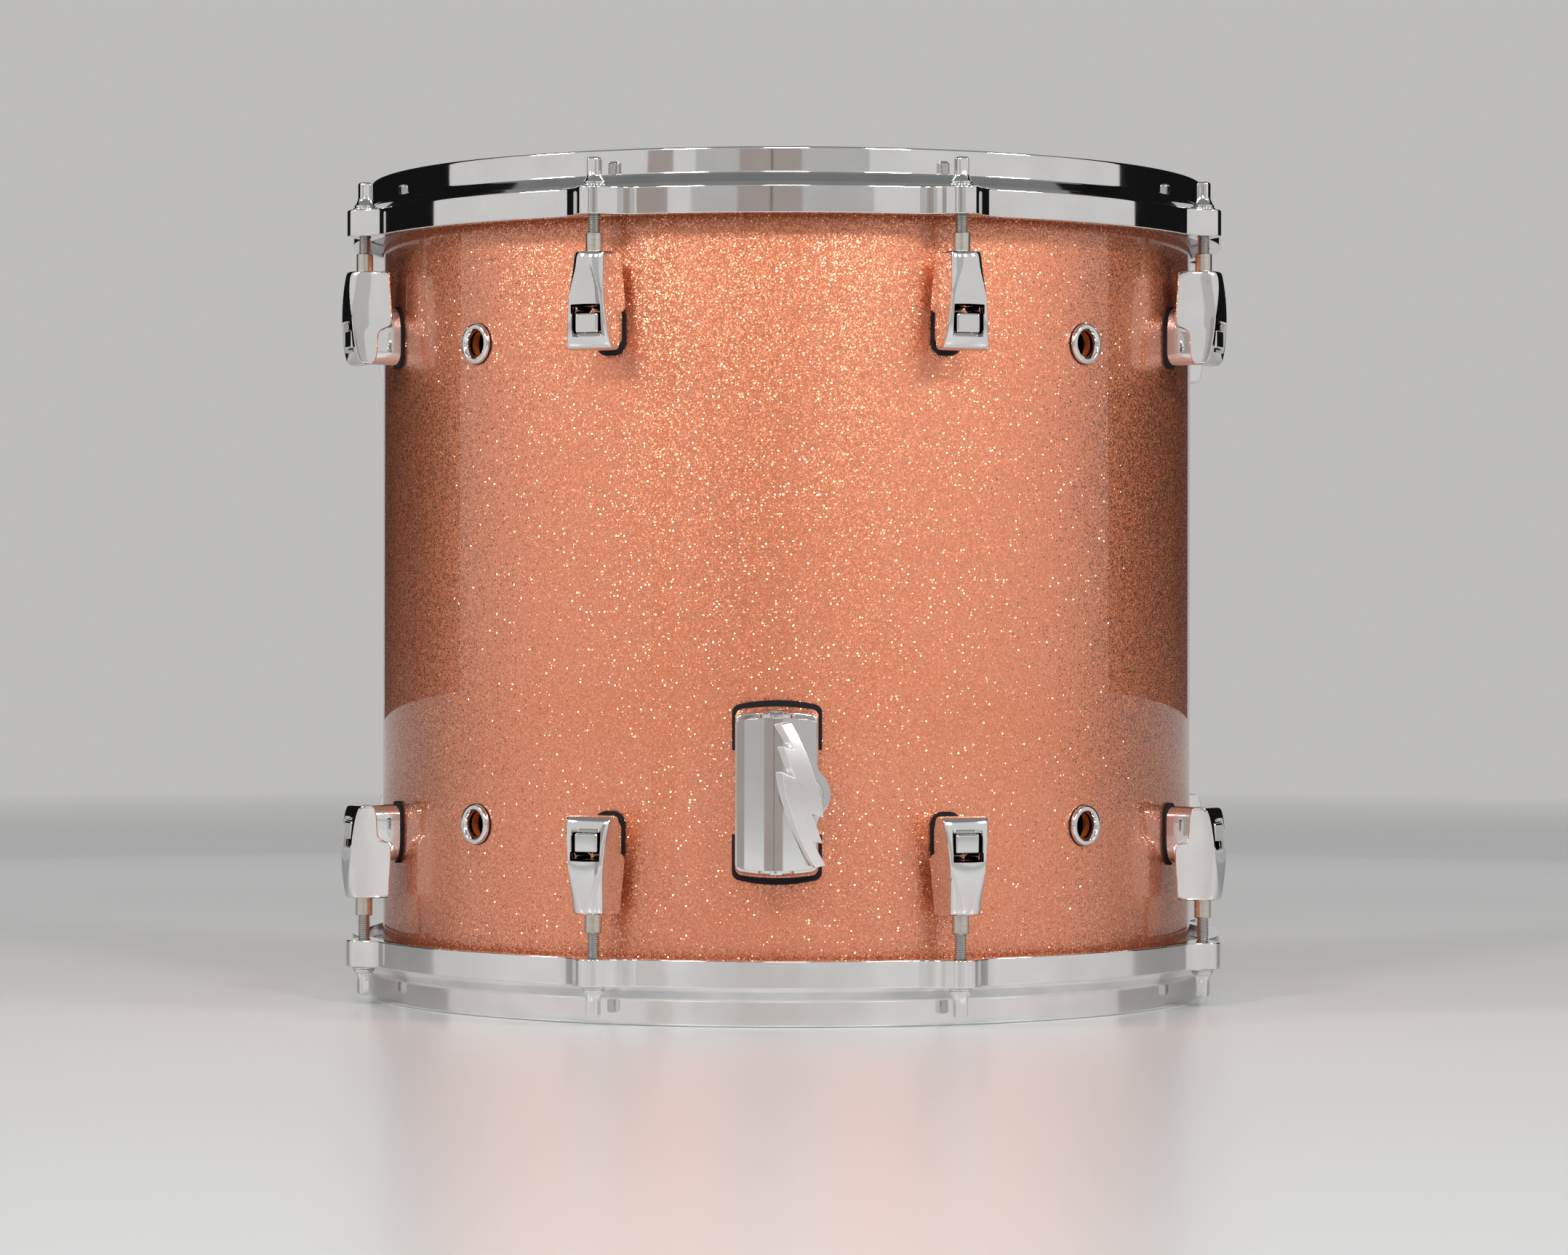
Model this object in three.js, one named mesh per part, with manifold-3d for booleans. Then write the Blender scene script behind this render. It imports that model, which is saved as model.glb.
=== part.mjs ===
// A sixteen inch floor tom: a lacquered wooden shell with a head and a die cast hoop at each end,
// eight hook lugs and tension rods for each head, and three leg clamps with wing screws.
// Millimetres, +Z up. The front leg clamp faces -Y, and the drum stands on its lower hoop at z = 0.
import * as THREE from "three";
import { mergeVertices } from "three/addons/utils/BufferGeometryUtils.js";
import Module from "manifold-3d";

const wasm = await Module();
wasm.setup();

// Driving dimensions of the drum
const shellRadius = 202;
const shellDepth = 381;
const shellWall = 6.5;
const lugsPerHead = 8;
const lugFromShellEnd = 39;
const legClampAngles = [0, 135, 225];
const legClampFromShellEnd = 94.8;

// Clearances: between pieces that touch, and around rods and screws that turn
const seatGap = 0.3;
const hookGap = 0.4;
const threadGap = 0.3;
const overrun = 4;

// Bearing edges of the shell, and its air vents
const bearingOuterBevel = 2.5;
const bearingInnerBevel = 4;
const ventRadius = 7.2;
const ventFromShellEnd = 77.3;
const ventAngles = [45, -45];

// Heads: a film with a collar that ends in a flesh hoop
const filmThickness = 0.6;
const collarGap = 0.4;
const collarThickness = 1.2;
const fleshHoopWidth = 8;
const fleshHoopHeight = 7.4;

// Die cast hoops: a rim ring, a sloped shoulder and a wider band that carries the ears
const ringClearance = 2.4;
const ringWidth = 3.9;
const ringHeight = 12.2;
const ringRound = 1.3;
const shoulderHeight = 6;
const seatBelowRim = 17.5;
const bandHeight = 12.9;
const bandRound = 0.9;
const fleshHoopClearance = 0.8;
const bandWall = 6.2;
const batterRimRise = 9;
const resonantRimRise = 12.5;

// Ears on the hoops, one for each tension rod
const rodFromShell = 17.7;
const earBossRadius = 8.5;
const earHoleGap = 0.6;
const earSpread = 19.5;
const earBossArc = 0.3 * Math.PI;
const spotFaceGap = 0.5;

// Tension rods
const rodRadius = 2.8;
const rodLength = 52;
const washerRadius = 5.6;
const washerHeight = 2.7;
const flareTopRadius = 3.3;
const flareHeight = 3.6;
const keyHeadWidth = 6.3;
const keyHeadHeight = 7.5;

// Hook lugs: a cast body with a window, and a threaded sleeve for the rod
const lugLength = 45.2;
const lugDepth = 19;
const lugFromShell = 8.6;
const lugRodEndWidth = 15.6;
const lugFarEndWidth = 22.6;
const lugDraft = 0.9;
const lugCrown = 1;
const sleeveRadius = 4.3;
const sleeveLength = 8.8;
const unhookRoom = 3.2;
const windowSideGap = 0.5;
const windowFlare = 1;

// Lug bases: a plate on the shell, a boot under the hook and a square peg in the window
const baseWidth = 13.8;
const baseStart = 17.4;
const basePlateRise = 6.4;
const baseBootRise = 15;
const baseBootStart = 24.6;
const pegWidth = 12.4;
const pegHeight = 8.8;
const pegFromRodEnd = 32.8;
const pegBelowCrest = 2.8;

// Leg clamps: a foot on the shell, a jaw with a crowned front, and a boss for the wing screw
const footWidth = 38;
const footHeight = 75.4;
const footRise = 9;
const footCorner = 5;
const jawWidth = 36.7;
const jawHeight = 69.4;
const jawCorner = 4;
const jawRise = 28;
const jawCrownRadius = 55;
const legHoleRadius = 5.35;
const legHoleRise = 14;
const bossRadius = 12.2;
const screwOffset = 12.6;
const bossRecessRadius = 9.4;
const bossRecessDepth = 4.4;

// Wing screws
const screwRadius = 3.9;
const screwLength = 18;
const collarRadius = 8.5;
const wingGap = 0.9;
const wingHeight = 8.6;
const wingHalfLength = 32;
const wingHalfWidth = 10;

// Fineness of round shapes: steps in a full turn
const drumSteps = 64;
const earSteps = 3;
const holeSteps = 10;
const bossSteps = 16;
const cornerSteps = 2;
const mergeDistance = 1e-4;

// Places worked out from the sizes above
const shellBottom = resonantRimRise;
const shellTop = shellBottom + shellDepth;
const overallHeight = shellTop + batterRimRise;
const ringInner = shellRadius + ringClearance;
const ringOuter = ringInner + ringWidth;
const hoopHeight = ringHeight + shoulderHeight + bandHeight;
const collarInner = shellRadius + collarGap;
const fleshHoopOuter = collarInner + fleshHoopWidth;
const bandInner = fleshHoopOuter + fleshHoopClearance;
const bandOuter = bandInner + bandWall;
const rodCircle = shellRadius + rodFromShell;
const earTopFromRim = ringHeight + shoulderHeight;
const clampMiddle = shellBottom + legClampFromShellEnd;
const wingBottomRise = jawRise + wingGap;
const frontReach = shellRadius + wingBottomRise + wingHeight;

const finishes = {
  lacquer: { color: 0xd97f58, roughness: 0.25, metalness: 0.35 },
  film: { color: 0xe9e7e0, roughness: 0.5, metalness: 0 },
  chrome: { color: 0xd9d9da, roughness: 0.12, metalness: 1 },
  nickel: { color: 0xb9b7b2, roughness: 0.35, metalness: 1 },
  satin: { color: 0xd3d1d4, roughness: 0.45, metalness: 0.9 },
};

// Turns a three.js geometry into a solid that can be joined and cut
function solidOf(geometry) {
  const bare = new THREE.BufferGeometry();
  bare.setAttribute("position", geometry.getAttribute("position"));
  bare.setIndex(geometry.index);
  const merged = mergeVertices(bare, mergeDistance);
  const corners = merged.index.array;
  const kept = [];
  for (let i = 0; i < corners.length; i += 3) {
    const [a, b, c] = [corners[i], corners[i + 1], corners[i + 2]];
    if (a !== b && b !== c && c !== a) kept.push(a, b, c);
  }
  const vertProperties = new Float32Array(merged.getAttribute("position").array);
  const made = makeSolid(vertProperties, kept);
  return made.volume() < 0 ? makeSolid(vertProperties, kept.reverse()) : made;
}

function makeSolid(vertProperties, corners) {
  const triVerts = new Uint32Array(corners);
  return new wasm.Manifold(new wasm.Mesh({ numProp: 3, vertProperties, triVerts }));
}

function geometryOf(solid) {
  const { vertProperties, triVerts } = solid.getMesh();
  const geometry = new THREE.BufferGeometry();
  geometry.setAttribute("position", new THREE.BufferAttribute(vertProperties, 3));
  geometry.setIndex(new THREE.BufferAttribute(triVerts, 1));
  geometry.computeVertexNormals();
  return geometry;
}

// A profile of [radius, height] points turned about the Z axis
function turned(profile, steps) {
  const points = profile.map(([radius, height]) => new THREE.Vector2(radius, height));
  return solidOf(new THREE.LatheGeometry(points, steps).rotateX(Math.PI / 2));
}

function turnedRing(profile, steps) {
  return turned([...profile, profile[0]], steps);
}

function cylinder(radius, from, to, steps) {
  return turned([[0, from], [radius, from], [radius, to], [0, to]], steps);
}

// A flat outline pushed along Z from one height to another
function prism(shape, from, to, curveSegments) {
  const geometry = new THREE.ExtrudeGeometry(shape, {
    depth: to - from,
    bevelEnabled: false,
    curveSegments,
  });
  return geometry.translate(0, 0, from);
}

function outline(points) {
  return new THREE.Shape(points.map(([x, y]) => new THREE.Vector2(x, y)));
}

function roundedRectangle(width, height, corner) {
  const [x, y] = [width / 2 - corner, height / 2 - corner];
  const shape = new THREE.Shape();
  shape.absarc(x, y, corner, 0, Math.PI / 2, false);
  shape.absarc(-x, y, corner, Math.PI / 2, Math.PI, false);
  shape.absarc(-x, -y, corner, Math.PI, 1.5 * Math.PI, false);
  shape.absarc(x, -y, corner, 1.5 * Math.PI, 2 * Math.PI, false);
  shape.closePath();
  return shape;
}

// Stands a prism drawn in (across, up) so that it grows outwards along +X
function facingOut(geometry) {
  const swap = new THREE.Matrix4().makeBasis(
    new THREE.Vector3(0, 1, 0),
    new THREE.Vector3(0, 0, 1),
    new THREE.Vector3(1, 0, 0),
  );
  return solidOf(geometry.applyMatrix4(swap));
}

function addMesh(parent, name, solid, finish) {
  const material = new THREE.MeshStandardMaterial(finishes[finish]);
  const mesh = new THREE.Mesh(geometryOf(solid), material);
  mesh.name = name;
  parent.add(mesh);
  return mesh;
}

// A place on the drum: +X points outwards there, +Y to the right as seen from outside
function station(drum, degrees) {
  const group = new THREE.Group();
  group.rotation.z = THREE.MathUtils.degToRad(degrees - 90);
  drum.add(group);
  return group;
}

// A frame in a station whose +Z points up, or down for the lower head's pieces
function hardwareFrame(place, radius, height, isUpper) {
  const frame = new THREE.Group();
  frame.position.set(radius, 0, height);
  frame.rotation.x = isUpper ? 0 : Math.PI;
  place.add(frame);
  return frame;
}

// Shell: a wooden tube with a bevelled bearing edge at each end and round vent holes
function makeShell() {
  const inner = shellRadius - shellWall;
  const crest = shellRadius - bearingOuterBevel;
  let shell = turnedRing(
    [
      [inner, shellBottom + bearingInnerBevel],
      [crest, shellBottom],
      [shellRadius, shellBottom + bearingOuterBevel],
      [shellRadius, shellTop - bearingOuterBevel],
      [crest, shellTop],
      [inner, shellTop - bearingInnerBevel],
    ],
    drumSteps,
  );
  for (const degrees of ventAngles) {
    for (const height of [shellBottom + ventFromShellEnd, shellTop - ventFromShellEnd]) {
      shell = shell.subtract(ventCutter(degrees, height));
    }
  }
  return shell;
}

function ventCutter(degrees, height) {
  const reach = shellRadius + overrun;
  const start = shellRadius - shellWall - overrun;
  return cylinder(ventRadius, start, reach, holeSteps)
    .rotate([0, 90, 0])
    .translate([0, 0, height])
    .rotate([0, 0, degrees - 90]);
}

// Head: film, collar over the bearing edge and flesh hoop, with the film's face at z = 0
function makeHead(collarDrop) {
  const crest = shellRadius - bearingOuterBevel;
  const collarOuter = collarInner + collarThickness;
  const filmUnder = -filmThickness;
  const collarTurn = filmUnder - bearingOuterBevel;
  const hoopTop = filmUnder - collarDrop;
  return turned(
    [
      [0, filmUnder],
      [crest + collarGap, filmUnder],
      [collarInner, collarTurn],
      [collarInner, hoopTop - fleshHoopHeight],
      [fleshHoopOuter, hoopTop - fleshHoopHeight],
      [fleshHoopOuter, hoopTop],
      [collarOuter, hoopTop],
      [collarOuter, collarTurn],
      [crest + collarGap, 0],
      [0, 0],
    ],
    drumSteps,
  );
}

// Hoop with its rim at z = 0 and its band below
function makeHoop() {
  const shoulderEnd = -ringHeight - shoulderHeight;
  let hoop = turnedRing(
    [
      [ringInner, -seatBelowRim],
      [ringInner, -ringRound],
      [ringInner + ringRound, 0],
      [ringOuter - ringRound, 0],
      [ringOuter, -ringRound],
      [ringOuter, -ringHeight],
      [bandOuter - bandRound, shoulderEnd],
      [bandOuter, shoulderEnd - bandRound],
      [bandOuter, -hoopHeight],
      [bandInner, -hoopHeight],
      [bandInner, -seatBelowRim],
    ],
    drumSteps,
  );
  const ear = makeEar();
  const hole = cylinder(rodRadius + earHoleGap, -hoopHeight - overrun, overrun, holeSteps);
  const spotFace = cylinder(washerRadius + spotFaceGap, -earTopFromRim, overrun, holeSteps);
  const cutter = hole.add(spotFace).translate([rodCircle, 0, 0]);
  for (let i = 0; i < lugsPerHead; i += 1) {
    const turn = [0, 0, lugAngle(i) - 90];
    hoop = hoop.add(ear.rotate(turn));
    hoop = hoop.subtract(cutter.rotate(turn));
  }
  return hoop;
}

// One ear: a round boss that flows into the band on both sides
function makeEar() {
  const rootInner = bandInner + bandWall / 4;
  const rootOuter = bandInner + (2 * bandWall) / 3;
  const tangentX = rodCircle + earBossRadius * Math.cos(earBossArc);
  const tangentY = earBossRadius * Math.sin(earBossArc);
  const bend = (earSpread - tangentY) / 2;
  const shape = new THREE.Shape();
  shape.moveTo(rootInner, -earSpread);
  shape.lineTo(rootOuter, -earSpread);
  shape.bezierCurveTo(bandOuter, -earSpread + bend, bandOuter, -tangentY - bend / 2, tangentX, -tangentY);
  shape.absarc(rodCircle, 0, earBossRadius, -earBossArc, earBossArc, false);
  shape.bezierCurveTo(bandOuter, tangentY + bend / 2, bandOuter, earSpread - bend, rootOuter, earSpread);
  shape.lineTo(rootInner, earSpread);
  shape.closePath();
  const earTop = -earTopFromRim;
  return solidOf(prism(shape, -hoopHeight, earTop, earSteps));
}

function lugAngle(index) {
  return (360 / lugsPerHead) * (index + 0.5);
}

// Tension rod, standing on the ear at z = 0: shaft, washer, flared neck and square head
function makeRod() {
  const washerTop = seatGap + washerHeight;
  const flareTop = washerTop + flareHeight;
  const shaft = turned(
    [
      [0, -rodLength],
      [rodRadius, -rodLength],
      [rodRadius, seatGap],
      [washerRadius, seatGap],
      [washerRadius, washerTop],
      [flareTopRadius, flareTop],
      [0, flareTop],
    ],
    holeSteps,
  );
  const half = keyHeadWidth / 2;
  const square = outline([[-half, -half], [half, -half], [half, half], [-half, half]]);
  return shaft.add(solidOf(prism(square, washerTop, flareTop + keyHeadHeight, 1)));
}

// Lug sections from the rod end to the far end: [share of the length, of the depth at the front
// and of the depth at the back]. The back steps outwards where the hook goes over its base.
const lugSectionShares = [
  [0, 0.87, 0.17],
  [0.08, 0.93, 0.055],
  [0.22, 0.975, 0.01],
  [0.39, 1, 0],
  [0.56, 0.985, 0],
  [0.605, 0.97, 0.1],
  [0.64, 0.96, 0.25],
  [0.82, 0.87, 0.3],
  [0.94, 0.77, 0.35],
  [1, 0.585, 0.475],
];
const lugMiddleWidthShare = 0.42;
const lugCrownWidthShare = 0.5;

// Half of the lug's width at a share of its length: it flares towards the far end
function lugHalfWidth(share) {
  const flare = (lugFarEndWidth - lugRodEndWidth) / 2;
  const bow = lugMiddleWidthShare * share + (1 - lugMiddleWidthShare) * share * share;
  return lugRodEndWidth / 2 + flare * bow;
}

// One section of the lug's body, as six points [depth, across] round its edge
function lugSection(share, front, back) {
  const half = lugHalfWidth(share);
  const backHalf = half + lugDraft * (1 - back / lugDepth);
  const edge = front - lugCrown;
  const flat = half * lugCrownWidthShare;
  return [
    [back, -backHalf],
    [edge, -half],
    [front, -flat],
    [front, flat],
    [edge, half],
    [back, backHalf],
  ];
}

// A closed skin over a stack of like sections, each a list of [x, y, z] points
function skinned(sections) {
  const count = sections[0].length;
  const positions = sections.flat(2);
  const index = [];
  for (let row = 0; row + 1 < sections.length; row += 1) {
    for (let i = 0; i < count; i += 1) {
      const [a, b] = [row * count + i, row * count + ((i + 1) % count)];
      index.push(a, b, b + count, a, b + count, a + count);
    }
  }
  const last = (sections.length - 1) * count;
  for (let i = 1; i + 1 < count; i += 1) {
    index.push(0, i + 1, i);
    index.push(last, last + i, last + i + 1);
  }
  const geometry = new THREE.BufferGeometry();
  geometry.setAttribute("position", new THREE.Float32BufferAttribute(positions, 3));
  geometry.setIndex(index);
  return solidOf(geometry);
}

// Lug in a frame on the rod's axis: the rod end at z = 0, the body below it
function makeLug() {
  const sections = lugSectionShares.map(([share, frontShare, backShare]) =>
    lugSection(share, frontShare * lugDepth, backShare * lugDepth).map(([depth, across]) => [
      depth + lugFromShell - rodFromShell,
      across,
      -share * lugLength,
    ]),
  );
  const sleeve = cylinder(sleeveRadius, -overrun, sleeveLength, holeSteps);
  const windowTop = pegFromRodEnd - pegHeight / 2 - unhookRoom;
  const bore = cylinder(rodRadius + threadGap, -windowTop - overrun / 2, sleeveLength + overrun, holeSteps);
  return skinned(sections).add(sleeve).subtract(bore).subtract(windowCutter(windowTop));
}

// The window goes right through the hook, and is wider towards the far end
function windowCutter(windowTop) {
  const windowEnd = pegFromRodEnd + pegHeight / 2 + seatGap;
  const near = pegWidth / 2 + windowSideGap;
  const far = near + windowFlare;
  const shape = outline([[-far, -windowEnd], [far, -windowEnd], [near, -windowTop], [-near, -windowTop]]);
  const start = lugFromShell - rodFromShell - overrun;
  return facingOut(prism(shape, start, start + lugDepth + 2 * overrun, 1));
}

// The lug's side outline [depth, drop], grown by a gap, to cut the room for the hook
function hookCutter(gap) {
  const front = lugSectionShares.map(([share, frontShare]) => [frontShare * lugDepth + gap, -share * lugLength]);
  const back = lugSectionShares.map(([share, , backShare]) => [backShare * lugDepth, -share * lugLength]);
  const shape = outline([...front, ...grownBack(back, gap).reverse()]);
  const upright = prism(shape, -lugFarEndWidth, lugFarEndWidth, 1).rotateX(Math.PI / 2);
  return solidOf(upright).translate([lugFromShell - rodFromShell, 0, 0]);
}

// Moves each point of the hook's back outline away from the lug, square to the outline there
function grownBack(points, gap) {
  return points.map(([depth, drop], i) => {
    const [before, after] = [points[Math.max(i - 1, 0)], points[Math.min(i + 1, points.length - 1)]];
    const [along, down] = [after[0] - before[0], after[1] - before[1]];
    const length = Math.hypot(along, down);
    return [depth + (down / length) * gap, drop - (along / length) * gap];
  });
}

// Lug base in the lug's own frame: a rounded foot, cut to the shell and to the hook, and the peg
function makeLugBase() {
  const start = -rodFromShell - overrun;
  const side = outline([
    [start, -lugLength],
    [start, -baseStart],
    [basePlateRise - rodFromShell, -baseStart],
    [basePlateRise - rodFromShell, -baseBootStart],
    [baseBootRise - rodFromShell, -baseBootStart],
    [baseBootRise - rodFromShell, -lugLength],
  ]);
  const profile = solidOf(prism(side, -baseWidth, baseWidth, 1).rotateX(Math.PI / 2));
  const baseLength = lugLength - baseStart;
  const foot = roundedRectangle(baseWidth, baseLength, baseWidth / 2 - seatGap);
  const footprint = facingOut(prism(foot, start, lugDepth, cornerSteps));
  const middle = -baseStart - baseLength / 2;
  const boot = profile.intersect(footprint.translate([0, 0, middle])).subtract(hookCutter(hookGap));
  return boot.add(makePeg()).subtract(shellCutter(-rodCircle));
}

function makePeg() {
  const half = pegWidth / 2;
  const top = pegHeight / 2 - pegFromRodEnd;
  const shape = outline([[-half, top - pegHeight], [half, top - pegHeight], [half, top], [-half, top]]);
  const pegFront = lugFromShell + lugDepth - pegBelowCrest - rodFromShell;
  return facingOut(prism(shape, lugFromShell - rodFromShell, pegFront, 1));
}

// The shell's outside with a seat gap, as a cutter whose axis is at x
function shellCutter(x) {
  return cylinder(shellRadius + seatGap, -shellDepth, shellDepth, drumSteps).translate([x, 0, 0]);
}

// Leg clamp in a station frame centred on its height: foot, crowned jaw, leg hole, screw hole
function makeLegClamp() {
  const start = shellRadius - overrun;
  const foot = roundedRectangle(footWidth, footHeight, footCorner);
  const jaw = roundedRectangle(jawWidth, jawHeight, jawCorner);
  const front = shellRadius + jawRise;
  const jawBlock = facingOut(prism(jaw, start, front, cornerSteps)).add(
    alongScrew(cylinder(bossRadius, start, front, bossSteps)),
  );
  const legHole = cylinder(legHoleRadius, -footHeight, footHeight, holeSteps);
  const screwHole = cylinder(screwRadius + threadGap, start, front + overrun, holeSteps);
  const recess = cylinder(bossRecessRadius, recessFloor(), front + overrun, bossSteps);
  return facingOut(prism(foot, start, shellRadius + footRise, cornerSteps))
    .add(jawBlock.intersect(jawCrown()))
    .subtract(legHole.translate([shellRadius + legHoleRise, 0, 0]))
    .subtract(alongScrew(screwHole))
    .subtract(alongScrew(recess))
    .subtract(shellCutter(0));
}

// The recess for the screw's collar starts below the crowned front of the jaw
function recessFloor() {
  const crownDrop = jawCrownRadius - Math.sqrt(jawCrownRadius ** 2 - screwOffset ** 2);
  return shellRadius + jawRise - crownDrop - bossRecessDepth;
}

// Lays a turned piece along the screw's axis, which points outwards beside the leg
function alongScrew(solid) {
  return solid.rotate([0, 90, 0]).translate([0, screwOffset, 0]);
}

// A long upright round bar that leaves the crowned front of the jaw
function jawCrown() {
  const centre = shellRadius + jawRise - jawCrownRadius;
  return cylinder(jawCrownRadius, -footHeight, footHeight, drumSteps).translate([centre, 0, 0]);
}

// Half of the wing's outline [share of half width, share of half length], from the tip of one
// arm down its long edge to the three stepped grips of the other arm. The other half is the
// same turned by half a turn.
const wingHalfShares = [
  [-0.63, 0.99],
  [-0.3, 0.79],
  [0.05, 0.555],
  [0.3, 0.335],
  [0.5, 0.115],
  [0.66, -0.14],
  [0.85, -0.31],
  [0.34, -0.235],
  [0.62, -0.45],
  [0.84, -0.665],
  [0.38, -0.61],
  [0.98, -0.965],
];

function wingOutline() {
  const half = wingHalfShares.map(([across, up]) => [across * wingHalfWidth, up * wingHalfLength]);
  return outline([...half, ...half.map(([across, up]) => [-across, -up])]);
}

// Wing screw in a station frame: shaft, round collar in the boss's recess, and the wing
function makeWingScrew() {
  const wingBottom = shellRadius + wingBottomRise;
  const collarBottom = recessFloor() + seatGap;
  const shaftEnd = collarBottom - screwLength;
  const turnedPart = turned(
    [
      [0, shaftEnd],
      [screwRadius, shaftEnd],
      [screwRadius, collarBottom],
      [collarRadius, collarBottom],
      [collarRadius, wingBottom + overrun / 2],
      [0, wingBottom + overrun / 2],
    ],
    bossSteps,
  );
  const wing = facingOut(prism(wingOutline(), wingBottom, wingBottom + wingHeight, 1));
  return alongScrew(turnedPart).add(wing.translate([0, screwOffset, 0]));
}

function addHoopsAndHeads(drum) {
  const batterCollarDrop = seatBelowRim - batterRimRise + 2 * seatGap;
  const resonantCollarDrop = seatBelowRim - resonantRimRise + 2 * seatGap;
  const hoop = makeHoop();
  const batter = addMesh(drum, "batter_head", makeHead(batterCollarDrop), "film");
  batter.position.z = shellTop + seatGap + filmThickness;
  const resonant = addMesh(drum, "resonant_head", makeHead(resonantCollarDrop), "film");
  resonant.position.z = shellBottom - seatGap - filmThickness;
  resonant.rotation.x = Math.PI;
  addMesh(drum, "batter_hoop", hoop, "chrome").position.z = overallHeight;
  addMesh(drum, "resonant_hoop", hoop, "chrome").rotation.x = Math.PI;
}

function addTensionHardware(drum) {
  const [rod, lug, base] = [makeRod(), makeLug(), makeLugBase()];
  for (let i = 0; i < lugsPerHead; i += 1) {
    const place = station(drum, lugAngle(i));
    for (const isUpper of [true, false]) {
      const head = isUpper ? "batter" : "resonant";
      const rodEnd = isUpper ? shellTop - lugFromShellEnd : shellBottom + lugFromShellEnd;
      const earTop = isUpper ? overallHeight - earTopFromRim : earTopFromRim;
      const lugFrame = hardwareFrame(place, rodCircle, rodEnd, isUpper);
      const rodFrame = hardwareFrame(place, rodCircle, earTop, isUpper);
      addMesh(lugFrame, `${head}_lug_${i + 1}`, lug, "chrome");
      addMesh(lugFrame, `${head}_lug_base_${i + 1}`, base, "chrome");
      addMesh(rodFrame, `${head}_tension_rod_${i + 1}`, rod, "nickel");
    }
  }
}

function addLegClamps(drum) {
  const [clamp, screw] = [makeLegClamp(), makeWingScrew()];
  legClampAngles.forEach((degrees, i) => {
    const place = station(drum, degrees);
    place.position.z = clampMiddle;
    addMesh(place, `leg_clamp_${i + 1}`, clamp, "chrome");
    addMesh(place, `wing_screw_${i + 1}`, screw, "satin");
  });
}

// The origin lies under the middle of the overall box: the front wing screw reaches out further
// than the hoops do at the back, so the drum's axis stands a little behind the origin
const drum = new THREE.Group();
drum.position.y = (frontReach - bandOuter) / 2;
addMesh(drum, "shell", makeShell(), "lacquer");
addHoopsAndHeads(drum);
addTensionHardware(drum);
addLegClamps(drum);

const floorTom = new THREE.Group();
floorTom.add(drum);

export default floorTom;
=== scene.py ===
# A sixteen inch floor tom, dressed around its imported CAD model: metres, +Z up, front clamp at -Y
import math

import bpy
from mathutils import Matrix, Vector


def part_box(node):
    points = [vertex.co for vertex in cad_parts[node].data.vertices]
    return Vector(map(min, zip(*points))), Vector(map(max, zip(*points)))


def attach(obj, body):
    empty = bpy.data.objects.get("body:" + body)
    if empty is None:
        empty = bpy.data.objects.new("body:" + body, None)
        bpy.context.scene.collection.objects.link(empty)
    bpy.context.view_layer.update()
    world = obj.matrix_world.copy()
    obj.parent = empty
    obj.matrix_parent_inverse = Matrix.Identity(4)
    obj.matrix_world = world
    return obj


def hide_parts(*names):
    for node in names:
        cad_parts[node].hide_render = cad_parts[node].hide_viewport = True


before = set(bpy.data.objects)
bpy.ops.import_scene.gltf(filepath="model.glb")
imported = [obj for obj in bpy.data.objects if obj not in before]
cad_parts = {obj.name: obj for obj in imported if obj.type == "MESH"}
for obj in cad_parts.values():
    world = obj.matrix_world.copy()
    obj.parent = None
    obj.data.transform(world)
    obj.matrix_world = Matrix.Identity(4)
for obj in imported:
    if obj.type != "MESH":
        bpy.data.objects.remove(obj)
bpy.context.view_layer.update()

MM = 0.001

# Camera
# The photograph was taken from 2.26 m, a little to the right of the front leg clamp, with the lens
# 185 mm above the floor and almost level. Its place was worked out from the hoops' ellipses.
shell_low, shell_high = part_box("shell")
drum_axis = Vector(((shell_low.x + shell_high.x) / 2, (shell_low.y + shell_high.y) / 2, 0))
camera_distance = 2263.6 * MM
camera_height = 185 * MM
camera_bearing = math.radians(1.2)
camera_aim_left = math.radians(0.032)
camera_dip = math.radians(0.063)
camera_roll = math.radians(-0.084)
camera_lens = 103.39
camera_side = Vector((math.sin(camera_bearing), -math.cos(camera_bearing), 0))
bpy.ops.object.camera_add(
    location=drum_axis + camera_side * camera_distance + Vector((0, 0, camera_height)),
    rotation=(math.pi / 2 - camera_dip, camera_roll, camera_bearing + camera_aim_left),
)
bpy.context.scene.camera = bpy.context.object
bpy.context.object.data.lens = camera_lens
bpy.context.scene.view_settings.view_transform = "Standard"

# Floor and studio
# A round pale floor that sweeps up into a wall all round, so that every view has the same plain
# ground. It is glossy enough to mirror the drum faintly, as the tabletop in the photograph does.
def only(piece):
    """Selects one object alone and makes it the active one."""
    bpy.ops.object.select_all(action="DESELECT")
    piece.select_set(True)
    bpy.context.view_layer.objects.active = piece


def primitive(add, name, **settings):
    """A primitive, added by its operator with nothing else selected."""
    bpy.ops.object.select_all(action="DESELECT")
    add(**settings)
    piece = bpy.context.object
    piece.name = piece.data.name = name
    return piece


def edit(piece):
    """Opens a piece in edit mode, with everything selected."""
    only(piece)
    bpy.ops.object.mode_set(mode="EDIT")
    bpy.ops.mesh.select_all(action="SELECT")


def mend(piece, merge=False, fill=False):
    """Merges what meets and fills holes, if asked to, and turns all the faces outwards."""
    edit(piece)
    if merge:
        bpy.ops.mesh.remove_doubles(threshold=MM / 1000)
    if fill:
        bpy.ops.mesh.fill_holes(sides=0)
        bpy.ops.mesh.select_all(action="SELECT")
    bpy.ops.mesh.normals_make_consistent(inside=False)
    bpy.ops.object.mode_set(mode="OBJECT")


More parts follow.
